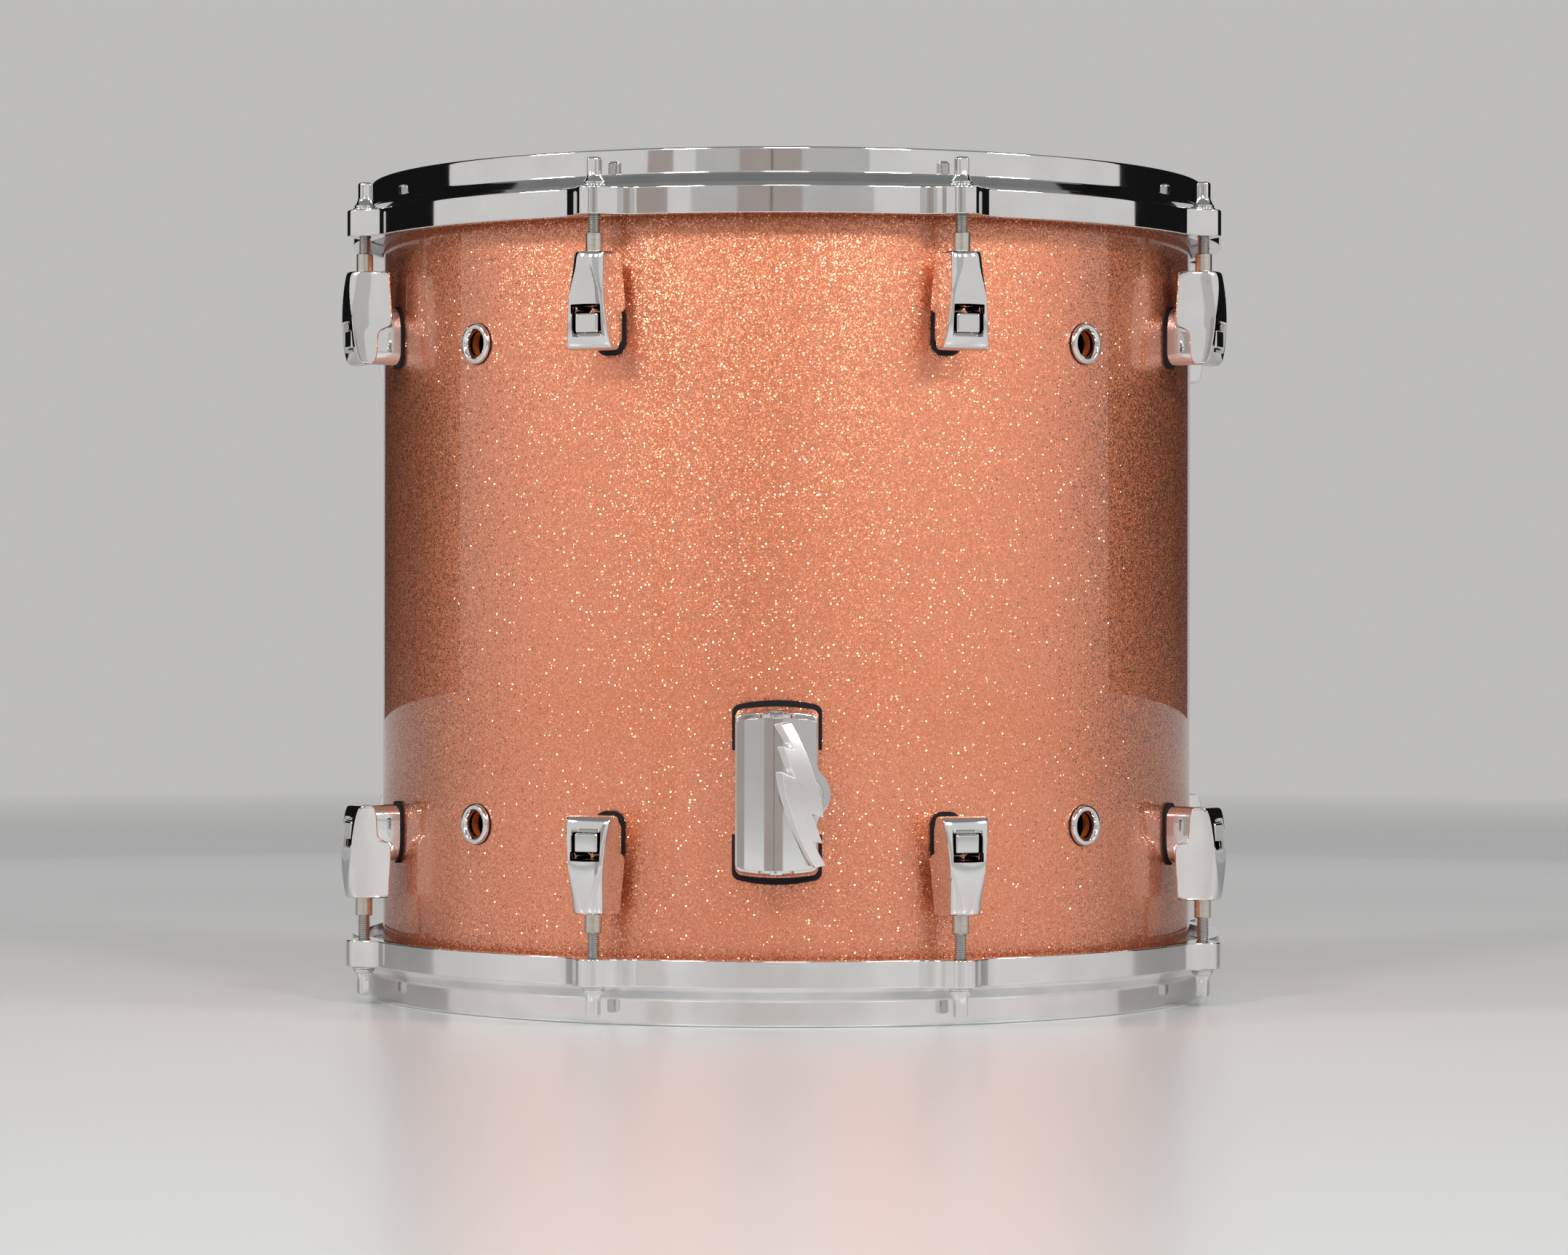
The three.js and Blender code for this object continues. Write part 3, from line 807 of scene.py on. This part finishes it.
rod_places = at_rods({"batter": overall_top - ear_top, "resonant": ear_top})
rod_models = [(rod, "{}_key_rod_{}", "plated_rod"), (washer, "{}_rod_washer_{}", "plated_rod")]
spread(rod_places, rod_models, "{}_tension_rod_{}", "{}_tension_rod_{}")

# Hook lugs
# Die cast zinc, chromed: a body with a crowned front that flares away from the rod, a window for
# the base's peg and a back that steps out into a hook. The rod's threaded sleeve is pressed in.
lug_back = shell_radius + 8.6 * MM - rod_circle
front_edge = [(0, 17.1), (1, 17.8), (3.5, 18.4), (10, 18.85), (17.8, 19), (24.3, 18.9), (31.5, 18.3)]
front_edge += [(37.2, 17.5), (41.5, 16.5), (43.6, 15.6), (44.7, 14.4), (45.2, 13.2)]
back_edge = [(0, -0.6), (1, -1), (9, -1.2), (15, -1.5), (23.5, -1.5), (25.6, -1), (26.8, 0.4), (27.9, 3)]
back_edge += [(29.2, 4.5), (31.5, 5.2), (38.7, 5.8), (42.3, 6.5), (44.4, 7.8), (45.2, 8.9)]
lug_stops = [0, 0.2, 0.6, 1.4, 3, 5, 7.5, 10, 12.5, 15, 17.5, 20, 22.5, 24.5, 25.8, 26.6, 27.2, 27.8]
lug_stops += [28.4, 29.2, 30.5, 32, 34, 36, 38, 39.6, 41, 42.2, 43.2, 44, 44.6, 45, 45.2]
end_inset = {0: 0.5, 0.2: 0.2, 0.6: 0.03, 44.6: 0.1, 45: 0.4, 45.2: 0.9}


def along(points, at):
    """The height at a place on a smooth curve through (place, height) points."""
    i = max(1, min(len(points) - 1, sum(place < at for place, _ in points)))

    def slope(j):
        before, after = points[max(j - 1, 0)], points[min(j + 1, len(points) - 1)]
        return (after[1] - before[1]) / (after[0] - before[0])

    (x0, y0), (x1, y1) = points[i - 1], points[i]
    width = x1 - x0
    t = (at - x0) / width
    rise = (3 - 2 * t) * t * t
    start, end = slope(i - 1) * width, slope(i) * width
    return y0 + (y1 - y0) * rise + start * t * (1 - t) ** 2 - end * t * t * (1 - t)


def lofted(name, sections):
    """A closed skin over like rings of points: a grid's rows are pulled to them, and its ends filled."""
    rows, count = len(sections), len(sections[0])
    piece = primitive(add_grid, name, x_subdivisions=count, y_subdivisions=rows - 1, size=MM)
    for vertex in piece.data.vertices:
        row, column = divmod(vertex.index, count + 1)
        vertex.co = sections[row][column % count]
    mend(piece, merge=True, fill=True)
    if sum(face.center.dot(face.normal) * face.area for face in piece.data.polygons) < 0:
        piece.data.flip_normals()
    return piece


def mirrored(half):
    """A ring of (x, y, z) points from its half with y above zero, which starts and ends on y = 0."""
    return [*half, *[(x, -y, z) for x, y, z in reversed(half[1:-1])]]


# The front's crown in mm, which sinks into a flat face between two places down the lug
crown_at_rod, crown_at_window = 3.4, 1
flat_start, flat_full = 3, 24.5
half_at_rod, half_flare, half_curve = 7.45, 0.04, 0.001
crown_fullness = 0.94
crown_shares = (0.96, 0.91, 0.84, 0.75, 0.65, 0.53, 0.4, 0.27, 0.13, 0)
front_round = 0.4
back_round = 0.8
side_draft, draft_power, draft_depth = 1.7, 1.6, 16
side_shares = (0.2, 0.4, 0.6, 0.8)


def eased(at, start, end):
    """0 up to a start, 1 from an end on, and a soft step between them."""
    share = min(1, max(0, (at - start) / (end - start)))
    return share * share * (3 - 2 * share)


def lug_section(at):
    """One slice of the lug: a back with rounded corners, sloped sides and a crowned front."""
    inset = end_inset.get(at, 0)
    front, back = along(front_edge, at) - inset, along(back_edge, at) + inset
    half = half_at_rod + half_flare * at + half_curve * at * at - inset
    lift = (crown_at_rod - crown_at_window) * eased(at, flat_start, flat_full)
    edge = front - crown_at_rod + lift

    def side(share):
        return half + side_draft * (1 - share**draft_power) * (edge - back) / draft_depth

    def fall(share):
        whole = 1 - math.sqrt(1 - crown_fullness**2)
        part = (1 - math.sqrt(1 - (crown_fullness * share) ** 2)) / whole
        return max(crown_at_window * part, crown_at_rod * part - lift)

    back_half = side(0)
    points = [(back, 0), (back, back_half / 2), (back, back_half - back_round)]
    points += [(back + back_round * 0.3, back_half - back_round * 0.3), (back + back_round, back_half)]
    points += [(back + (edge - back) * share, side(share)) for share in side_shares]
    points += [(edge - front_round, half), (edge - front_round * 0.3, half - front_round * 0.3)]
    points += [(front - fall(share), half * share) for share in crown_shares]
    return mirrored([(lug_back + x * MM, y * MM, -at * MM) for x, y in points])


lug = lofted("hook_lug", [lug_section(at) for at in lug_stops])
# The window: straight through the hook, with a bevelled rim that runs out further below the peg.
# The numbers are a depth, the half widths at its upper and lower end, and where these ends are
window_hole = (6.2, 6.75, 25.4, 37.5)
window_stops = [(-4, *window_hole), (15.3, *window_hole), (19.6, 8, 8.8, 24.1, 42.3)]
window = lofted(
    "window_cutter",
    [
        [
            (lug_back + depth * MM, y * MM, -at * MM)
            for y, at in ((-near, top), (near, top), (far, bottom), (-far, bottom))
        ]
        for depth, near, far, top, bottom in window_stops
    ],
)
cut(lug, window)
bore_radius = 3.1 * MM
bore_depth = 26 * MM
wide_bore = bore_radius + 1.1 * MM
cut(lug, primitive(add_cylinder, "bore", vertices=40, radius=wide_bore, depth=2 * bore_depth))
crisp(lug, chrome, degrees=24)

nickel, nickel_shader, places = new_material("turned_nickel", Metallic=1)
turning = places.stretched(90, 90, 6500).noise(1, detail=1)
turning.tint(nickel_shader, 0.3, 0.7, (0.56, 0.52, 0.46, 1), (0.7, 0.65, 0.58, 1))
(turning * 0.1 + 0.24).into(nickel_shader, "Roughness")
turning.bump(nickel_shader, 0.004 * MM)
sleeve_radius = 4 * MM
sleeve_rise = 8.8 * MM
sleeve_drop = -21 * MM
sleeve_bevel = 0.45 * MM
sleeve = ring(
    "lug_sleeve",
    [
        (bore_radius, sleeve_drop, 0),
        (sleeve_radius, sleeve_drop, 0),
        (sleeve_radius, sleeve_rise - sleeve_bevel, 0),
        (sleeve_radius - sleeve_bevel, sleeve_rise, 0),
        (bore_radius + sleeve_bevel, sleeve_rise, 0),
        (bore_radius, sleeve_rise - sleeve_bevel, 0),
    ],
    steps=48,
)
smooth(sleeve, nickel, degrees=30)

lug_from_end = 39 * MM
lug_places = at_rods({"batter": shell_high.z - lug_from_end, "resonant": shell_low.z + lug_from_end})
lug_models = [(lug, "{}_hook_lug_{}", "cast_chrome"), (sleeve, "{}_lug_sleeve_{}", "plated_rod")]
spread(lug_places, lug_models, "{}_lug_{}")

# Lug bases
# A chromed casting screwed on from inside the shell: a round-ended plate, a boot that fills the
# space under the hook, and a square peg that shows in the lug's window.
base_half = 6.9
base_start, base_end = 17.4, 44.8
base_under, plate_top = -7, -2.1
base_nose = 13
base_corner = 6
base_round = 0.7
boot_start, boot_full = 23.2, 27.8
hook_start, hook_gap = 26.2, 0.4
least_half = 0.02
boot_stops = [18.2, 19.5, 21, 22.5, 23.6, 24.4, 25.1, 25.8, 26.6, 27.4, 28.4, 29.6, 31, 33, 35, 37, 38.5]
boot_stops += [40, 41.3, 42.5, 43.4]
base_stops = [base_start, base_start + 0.15, base_start + 0.4, *boot_stops, 44.1, 44.5, 44.7, base_end]


def base_section(at):
    """One slice of the base: long nosed in plan, with a top that rises to the hook's back less a gap."""
    to_end = base_corner - min(base_end - at, base_corner)
    to_nose = (base_nose - min(at - base_start, base_nose)) / base_nose * base_half
    end_cut = base_corner - math.sqrt(base_corner**2 - to_end**2)
    half = math.sqrt(base_half**2 - to_nose**2) - end_cut + least_half
    hook = along(back_edge, max(at, hook_start)) - hook_gap
    top = plate_top + (hook - plate_top) * eased(at, boot_start, boot_full)
    edge = min(base_round, half * 0.6)
    points = [(base_under, 0), (base_under, half * 0.6), (base_under, half), ((base_under + top) / 2, half)]
    points += [(top - edge, half), (top - edge * 0.3, half - edge * 0.3), (top, half - edge)]
    points += [(top, half * 0.2), (top, 0)]
    return mirrored([(lug_back + x * MM, y * MM, -at * MM) for x, y in points])


base = lofted("lug_base", [base_section(at) for at in base_stops])
peg_back, peg_front = 3.6, 17.6
peg_half_width, peg_top, peg_bottom = 5.75, 28.4, 37.2
peg = primitive(bpy.ops.mesh.primitive_cube_add, "peg", size=1)
peg.location = (lug_back + (peg_back + peg_front) / 2 * MM, 0, -(peg_top + peg_bottom) / 2 * MM)
peg.scale = ((peg_front - peg_back) * MM, 2 * peg_half_width * MM, (peg_bottom - peg_top) * MM)
only(peg)
bpy.ops.object.transform_apply()
bevel(peg, 1.1 * MM, segments=5, degrees=40)
cut(base, peg, "UNION")
crisp(base, chrome)
spread(lug_places, [(base, "{}_lug_seat_{}", "cast_chrome")], "{}_lug_base_{}")

# Rubber gaskets
# Black ribbed rubber moulded to the shell's curve, a little wider than what stands on it, so that
# its rim shows round each lug base and beyond both ends of each leg clamp.
rubber, rubber_shader, places = new_material("ribbed_rubber", Roughness=0.75, Specular_IOR_Level=0.18)
ribs = places.stretched(1500, 1500, 1500)
ribbed = ribs.node("ShaderNodeTexWave", {"bands_direction": "DIAGONAL"}, {"Vector": ribs, "Scale": 1})
# Painted shade: the ribs' grooves are coloured darker than their crests, by the same waves that bump them
ribbed.mixed((0.005, 0.004, 0.006, 1), (0.03, 0.026, 0.032, 1)).into(rubber_shader, "Base Color")
ribbed.bump(rubber_shader, 0.06 * MM)
gasket_thickness = 2.4 * MM
lug_gasket_thickness = 1.7 * MM
gasket_round = 0.5 * MM
gasket_sink = 0.3 * MM
gasket_shares = (-1, -0.75, -0.5, -0.25, 0, 0.25, 0.5, 0.75, 1)


def bowed(height, across, half_width, half_height, bow):
    """The height of a point after the ends of its outline are bowed outwards in the middle."""
    fall = bow * (across / half_width) ** 2 * (abs(height) / half_height) ** 3
    return height - math.copysign(fall, height)


def gasket_model(name, half_widths, thickness, bow=0):
    """A pad on the shell with its middle at z = 0, from (height, half width) pairs up its length."""
    sections = []
    half_width, half_height = max(half for _, half in half_widths), half_widths[-1][0]
    for height, half in half_widths:
        inner, outer = shell_radius - gasket_sink, shell_radius + thickness
        under = [(inner, half * share) for share in gasket_shares]
        side = [(outer - gasket_round, half), (outer - gasket_round * 0.3, half - gasket_round * 0.3)]
        half_top = half - gasket_round
        over = [(outer, half_top * share) for share in reversed(gasket_shares)]
        rim = [*under, *side, *over, *[(radius, -across) for radius, across in reversed(side)]]
        sections.append(
            [
                (
                    radius * math.cos(across / shell_radius),
                    radius * math.sin(across / shell_radius),
                    bowed(height, across, half_width, half_height, bow),
                )
                for radius, across in rim
            ]
        )
    pad = lofted(name, sections)
    smooth(pad, rubber, degrees=40)
    return pad


def end_half(half, corner, from_end):
    """Half of a rounded rectangle's width at a distance from its end."""
    inside = corner - min(from_end, corner)
    return half - corner + math.sqrt(corner**2 - inside**2)


lug_gasket_half = 7.7 * MM
lug_gasket_corner = 6.2 * MM
lug_gasket_length = 30.2 * MM
lug_gasket_middle = 31.4 * MM
gasket_ends = [0.05, 0.25, 0.65, 1.35, 2.25, 3.35, 4.55, 5.85, 7.25]
pad_widths = [
    (from_end * MM - lug_gasket_length / 2, end_half(lug_gasket_half, lug_gasket_corner, from_end * MM))
    for from_end in gasket_ends
]
nose_stretch = base_nose / base_half
for from_end in reversed(gasket_ends):
    half = end_half(lug_gasket_half, lug_gasket_half, from_end * MM)
    pad_widths.append((lug_gasket_length / 2 - from_end * nose_stretch * MM, half))
to_gasket = Matrix.Translation((-rod_circle, 0, -lug_gasket_middle))
gasket_places = {key: place @ to_gasket for key, place in lug_places.items()}
pad = gasket_model("lug_gasket", pad_widths, lug_gasket_thickness)
spread(gasket_places, [(pad, "{}_lug_gasket_{}", "gasket_rubber")], "{}_lug_base_{}")

clamp_from_end = 94.8 * MM
clamp_middle = shell_low.z + clamp_from_end
clamp_bearings = (0, 135, 225)
clamp_gasket_half = 20.5 * MM
clamp_gasket_waist = 18 * MM
clamp_gasket_length = 84.6 * MM
clamp_gasket_corner = 3.4 * MM
clamp_bow = 2.7 * MM
cap_length, cap_slope = 22.5, 0.6
clamp_gasket_low = -clamp_gasket_length / 2
pad_widths = [
    (clamp_gasket_low + from_end * MM, end_half(clamp_gasket_half, clamp_gasket_corner, from_end * MM))
    for from_end in (0.05, 0.2, 0.5, 0.95, 1.55, 2.4, 3.4, 6, 12, cap_length)
]
pad_widths.append((clamp_gasket_low + (cap_length + cap_slope) * MM, clamp_gasket_waist))
pad_widths += [(-height, half) for height, half in reversed(pad_widths)]
clamp_places = {(i,): on_drum(bearing, 0, clamp_middle) for i, bearing in enumerate(clamp_bearings, 1)}
pad = gasket_model("clamp_gasket", pad_widths, gasket_thickness, clamp_bow)
spread(clamp_places, [(pad, "leg_clamp_gasket_{}", "gasket_rubber")], "leg_clamp_{}")

# Air vents
# A chromed eyelet pressed into the hole, with a rounded lip and a bell mouth, and a thin black
# washer behind the lip. Both are turned. Further in, the hole shows the shell's own wood.
eyelet_outer = 9.6 * MM
eyelet_mouth = 7.2 * MM
eyelet_hole = 6.1 * MM
eyelet_rise = 2.7 * MM
eyelet_seat = 0.4 * MM
lip_round = 1.6 * MM
tube_depth = 1.8 * MM
washer_outer = eyelet_outer + 0.25 * MM
washer_depth = 0.5 * MM
eyelet = ring(
    "vent_eyelet",
    [
        (vent_radius, eyelet_seat, 0),
        (eyelet_outer, eyelet_seat, 0.3 * MM),
        (eyelet_outer, eyelet_rise, lip_round),
        (eyelet_mouth, eyelet_rise, 0.55 * MM),
        (eyelet_hole, 0.2 * MM, 1.2 * MM),
        (eyelet_hole, -tube_depth, 0),
        (vent_radius, -tube_depth, 0),
    ],
    steps=64,
    arc_steps=6,
)
smooth(eyelet, chrome, degrees=40)
vent_washer = ring(
    "vent_washer",
    [
        (vent_radius, -washer_depth, 0),
        (washer_outer, -washer_depth, 0),
        (washer_outer, eyelet_seat, 0.2 * MM),
        (vent_radius, eyelet_seat, 0),
    ],
    steps=64,
    arc_steps=3,
)
smooth(vent_washer, rubber)
vent_models = [(eyelet, "vent_eyelet_{}", "cast_chrome"), (vent_washer, "vent_gasket_{}", "gasket_rubber")]
spread({(i,): place @ lying_out for i, place in enumerate(vent_places, 1)}, vent_models)

# Leg clamps
# A chromed casting bolted through the shell: a foot with rounded edges, a jaw with a crowned mirror
# front that holds the leg in an upright hole, and a boss beside it for the wing screw.
foot_half_width, foot_half_height = 19 * MM, 37.7 * MM
foot_corner = 2.8 * MM
skirt = 2.5 * MM
foot_rise = 9 * MM
foot_bow = 2.3 * MM
jaw_half_width, jaw_half_height = 18.35 * MM, 34.7 * MM
jaw_corner = 2.2 * MM
jaw_corner_steps = 4
jaw_rise = 28 * MM
jaw_bow = 1.3 * MM
crown_radius = 55 * MM
screw_offset = 12.6 * MM
screw_boss = 12.2 * MM
boss_turn, boss_end = 8.6 * MM, 15.4 * MM
boss_power = 2.2
jaw_round = 0.8 * MM


def slab_outline(half_width, half_height, corner, steps=6):
    """A rounded rectangle's right-hand side as (height, half width) pairs, from bottom to top."""
    angles = [math.pi / 2 * i / steps for i in range(steps + 1)]
    side = [
        (-half_height + corner * (1 - math.cos(a)), half_width - corner * (1 - math.sin(a)))
        for a in angles
    ]
    return side + [(-height, half) for height, half in reversed(side)]


def jaw_right(height, half):
    """The jaw's right edge, with the screw's boss flowing out of it."""
    height = abs(height)
    if height > boss_end:
        return half
    if height < boss_turn:
        return screw_offset + math.sqrt(screw_boss**2 - height**2)
    reach = screw_offset + math.sqrt(screw_boss**2 - boss_turn**2) - jaw_half_width
    left = (boss_end - height) / (boss_end - boss_turn)
    return half + reach * left**boss_power


jaw_rows = slab_outline(jaw_half_width, jaw_half_height, jaw_corner, jaw_corner_steps)
middle = len(jaw_rows) // 2
# Its middle gets more rows, closer together where the screw's boss flows out of the edge
boss_heights = [1.8, 3.6, 5.3, 7, 8.6, 9.9, 11.2, 12.6, 14, 15.4, 19, 24]
boss_heights = [-height for height in reversed(boss_heights)] + [0] + boss_heights
jaw_rows[middle:middle] = [(height * MM, jaw_half_width) for height in boss_heights]
front_columns = 28
front_grid = {"x_subdivisions": front_columns, "y_subdivisions": len(jaw_rows) - 1}
clamp = primitive(add_grid, "leg_clamp_casting", size=MM, **front_grid)
for vertex in clamp.data.vertices:
    row, column = divmod(vertex.index, front_columns + 1)
    height, half = jaw_rows[row]
    share = column / front_columns
    across = -half + (jaw_right(height, half) + half) * share
    drop = crown_radius - math.sqrt(crown_radius**2 - across**2)
    place = bowed(height, min(across, half), jaw_half_width, jaw_half_height, jaw_bow)
    vertex.co = (shell_radius + jaw_rise - drop, across, place)
# The front is extruded back, and what is extruded is then made flat
edit(clamp)
bpy.ops.mesh.extrude_region_move(TRANSFORM_OT_translate={"value": (-20 * MM, 0, 0)})
bpy.ops.object.mode_set(mode="OBJECT")
jaw_under = shell_radius + 4 * MM
for vertex in clamp.data.vertices:
    if vertex.select:
        vertex.co.x = jaw_under
mend(clamp)
bevel(clamp, jaw_round, segments=4, degrees=50)

# The foot's levels: radius, how far it is drawn in all round, and how far its ends stand out
foot_under, foot_top = shell_radius + gasket_thickness, shell_radius + foot_rise
foot_levels = [
    (shell_radius - 2 * MM, 0, skirt),
    (foot_under + 0.1 * MM, 0, skirt),
    (foot_under + 0.4 * MM, 0, skirt * 0.94),
    (foot_under + 1.2 * MM, 0, skirt * 0.8),
    (foot_top - 2.1 * MM, 0, skirt * 0.06),
    (foot_top - 1.6 * MM, 0, 0),
    (foot_top - 1 * MM, 0.15 * MM, 0),
    (foot_top - 0.4 * MM, 0.5 * MM, 0),
    (foot_top - 0.1 * MM, 1 * MM, 0),
    (foot_top, 1.7 * MM, 0),
]
side_spread = 0.12
end_shares = (0.75, 0.5, 0.25, 0, -0.25, -0.5, -0.75)
foot_sections = []
for radius, inset, end_spread in foot_levels:
    half_width = foot_half_width + side_spread * end_spread - inset
    rows = slab_outline(half_width, foot_half_height + end_spread - inset, foot_corner - inset * 0.5)
    right = [(half, height) for height, half in rows]
    top, end = rows[-1]
    over = [(end * share, top) for share in end_shares]
    rim = [*right, *over, *[(-across, -height) for across, height in [*right, *over]]]
    foot_sections.append(
        [
            (radius, across, bowed(height, across, foot_half_width, foot_half_height + skirt, foot_bow))
            for across, height in rim
        ]
    )
cut(clamp, lofted("clamp_foot", foot_sections), "UNION")

leg_hole_radius = 5.35 * MM
leg_hole_rise = 14 * MM
leg_collar_radius = 8.5 * MM
leg_collar_reach = jaw_half_height + 2 * MM
collar_bevel, hole_bevel = 0.7 * MM, 0.6 * MM
hole_reach = 60 * MM
hole_mouth = leg_hole_radius + hole_bevel


def two_ended(name, upper, steps):
    """A turned piece whose lower end mirrors its upper one, from that end's (radius, height) points."""
    return turned(name, [*[(radius, -height) for radius, height in reversed(upper)], *upper], steps)


leg_collar_end = [
    (leg_collar_radius, leg_collar_reach - collar_bevel),
    (leg_collar_radius - collar_bevel, leg_collar_reach),
    (0, leg_collar_reach),
]
leg_hole_end = [
    (leg_hole_radius, leg_collar_reach - hole_bevel),
    (hole_mouth, leg_collar_reach + 0.01 * MM),
    (hole_mouth, hole_reach),
    (0, hole_reach),
]
leg_place = Matrix.Translation((shell_radius + leg_hole_rise, 0, 0))
cut(clamp, place_mesh(two_ended("leg_collar", leg_collar_end, steps=48), leg_place), "UNION")
cut(clamp, place_mesh(two_ended("leg_hole", leg_hole_end, steps=40), leg_place))

# The recess for the screw's collar, with a bevelled rim, and the screw's own hole under it
crown_drop = crown_radius - math.sqrt(crown_radius**2 - screw_offset**2)
recess_top = shell_radius + jaw_rise - crown_drop
recess_floor = recess_top - 4.4 * MM
recess_radius, recess_rim = 8.9 * MM, 10.1 * MM
screw_hole = 4.2 * MM
hole_end, above_recess = jaw_under - 10 * MM, recess_top + 2 * MM
recess = turned(
    "recess",
    [
        (0, hole_end),
        (screw_hole, hole_end),
        (screw_hole, recess_floor),
        (recess_radius, recess_floor),
        (recess_radius, recess_top - 1.9 * MM),
        (recess_rim, recess_top - 0.6 * MM),
        (recess_rim + 1.2 * MM, above_recess),
        (0, above_recess),
    ],
    steps=56,
)
to_screw = Matrix.Translation((0, screw_offset, 0))
cut(clamp, place_mesh(recess, to_screw @ lying_out))
# Its back is hollowed to the gasket's curve
back_radius = foot_under - 0.1 * MM
cut(clamp, two_ended("shell_tool", [(back_radius, hole_reach), (0, hole_reach)], steps=192))
crisp(clamp, chrome)
spread(clamp_places, [(clamp, "leg_clamp_casting_{}", "cast_chrome")], "leg_clamp_{}")

# Wing screws
# A satin nickel zinc wing, S-shaped with three stepped grips on each arm, cast on a steel screw with
# a round collar that turns in the clamp's recess. It tightens the jaw on the leg.
wing_bottom = shell_radius + jaw_rise + 0.9 * MM
wing_height = 8.6 * MM
wing_crown = 4.4 * MM
wing_lean = 2.2 * MM
wing_taper = 0.88
wing_half_length = 33 * MM
# Half of its outline, across and up in mm. The other half is the same, turned by 180 degrees
half_wing = [
    (-5.4, 32.8),
    (-2.3, 27.4),
    (1, 20.2),
    (3.2, 15),
    (5.1, 9),
    (7, 3.2),
    (8.2, -2),
    (8.9, -6.2),
    (9.3, -10.3),
    (3.9, -8.1),
    (6.4, -14.8),
    (8.8, -21.7),
    (4.4, -20.9),
    (10.2, -31.8),
]
satin, satin_shader, places = new_material("satin_nickel", Metallic=1)
frost = places.noise(0.28 * MM, detail=2)
frost.tint(satin_shader, 0.3, 0.72, (0.8, 0.79, 0.79, 1), (0.97, 0.96, 0.96, 1))
(frost * 0.16 + 0.24).into(satin_shader, "Roughness")
frost.bump(satin_shader, 0.006 * MM)

whole_wing = [*half_wing, *[(-across, -up) for across, up in half_wing]]
wing_start = {"vertices": len(whole_wing), "fill_type": "NGON", "radius": MM}
wing = primitive(bpy.ops.mesh.primitive_circle_add, "wing_screw_casting", **wing_start)
for vertex, (across, up) in zip(wing.data.vertices, whole_wing):
    vertex.co = (wing_bottom, across * MM / wing_taper - wing_lean, up * MM)
edit(wing)
bpy.ops.mesh.extrude_region_move(TRANSFORM_OT_translate={"value": (wing_height, wing_lean, 0)})
bpy.ops.transform.resize(value=(1, wing_taper, 1))
# Its front is cut into rows, and they are drawn back towards the tips of the arms
for height in (-27, -22, -17, -12, -7, -2.5, 2.5, 7, 12, 17, 22, 27):
    bpy.ops.mesh.select_all(action="SELECT")
    bpy.ops.mesh.bisect(plane_co=(0, 0, height * MM), plane_no=(0, 0, 1))
bpy.ops.object.mode_set(mode="OBJECT")
mend(wing)
for vertex in wing.data.vertices:
    if vertex.co.x > wing_bottom + wing_height / 2:
        vertex.co.x -= wing_crown * (vertex.co.z / wing_half_length) ** 2
bevel(wing, 0.9 * MM, segments=3, degrees=30)

collar_radius_out = 8.5 * MM
screw_radius = 3.9 * MM
collar_bottom = recess_floor + 0.3 * MM
shaft_end = collar_bottom - 18 * MM
shaft = turned(
    "wing_shaft",
    [
        (0, shaft_end),
        (screw_radius - 0.8 * MM, shaft_end),
        (screw_radius, shaft_end + 0.8 * MM),
        (screw_radius, collar_bottom),
        (collar_radius_out - 0.4 * MM, collar_bottom),
        (collar_radius_out, collar_bottom + 0.4 * MM),
        (collar_radius_out, wing_bottom - 1 * MM),
        (collar_radius_out - 1.1 * MM, wing_bottom + 0.3 * MM),
        (collar_radius_out - 2.2 * MM, wing_bottom + 2 * MM),
        (0, wing_bottom + 2 * MM),
    ],
    steps=48,
)
cut(wing, place_mesh(shaft, lying_out), "UNION")
crisp(wing, satin)
screw_places = {key: place @ to_screw for key, place in clamp_places.items()}
spread(screw_places, [(wing, "wing_screw_casting_{}", "satin_nickel")], "wing_screw_{}", "wing_screw_{}")
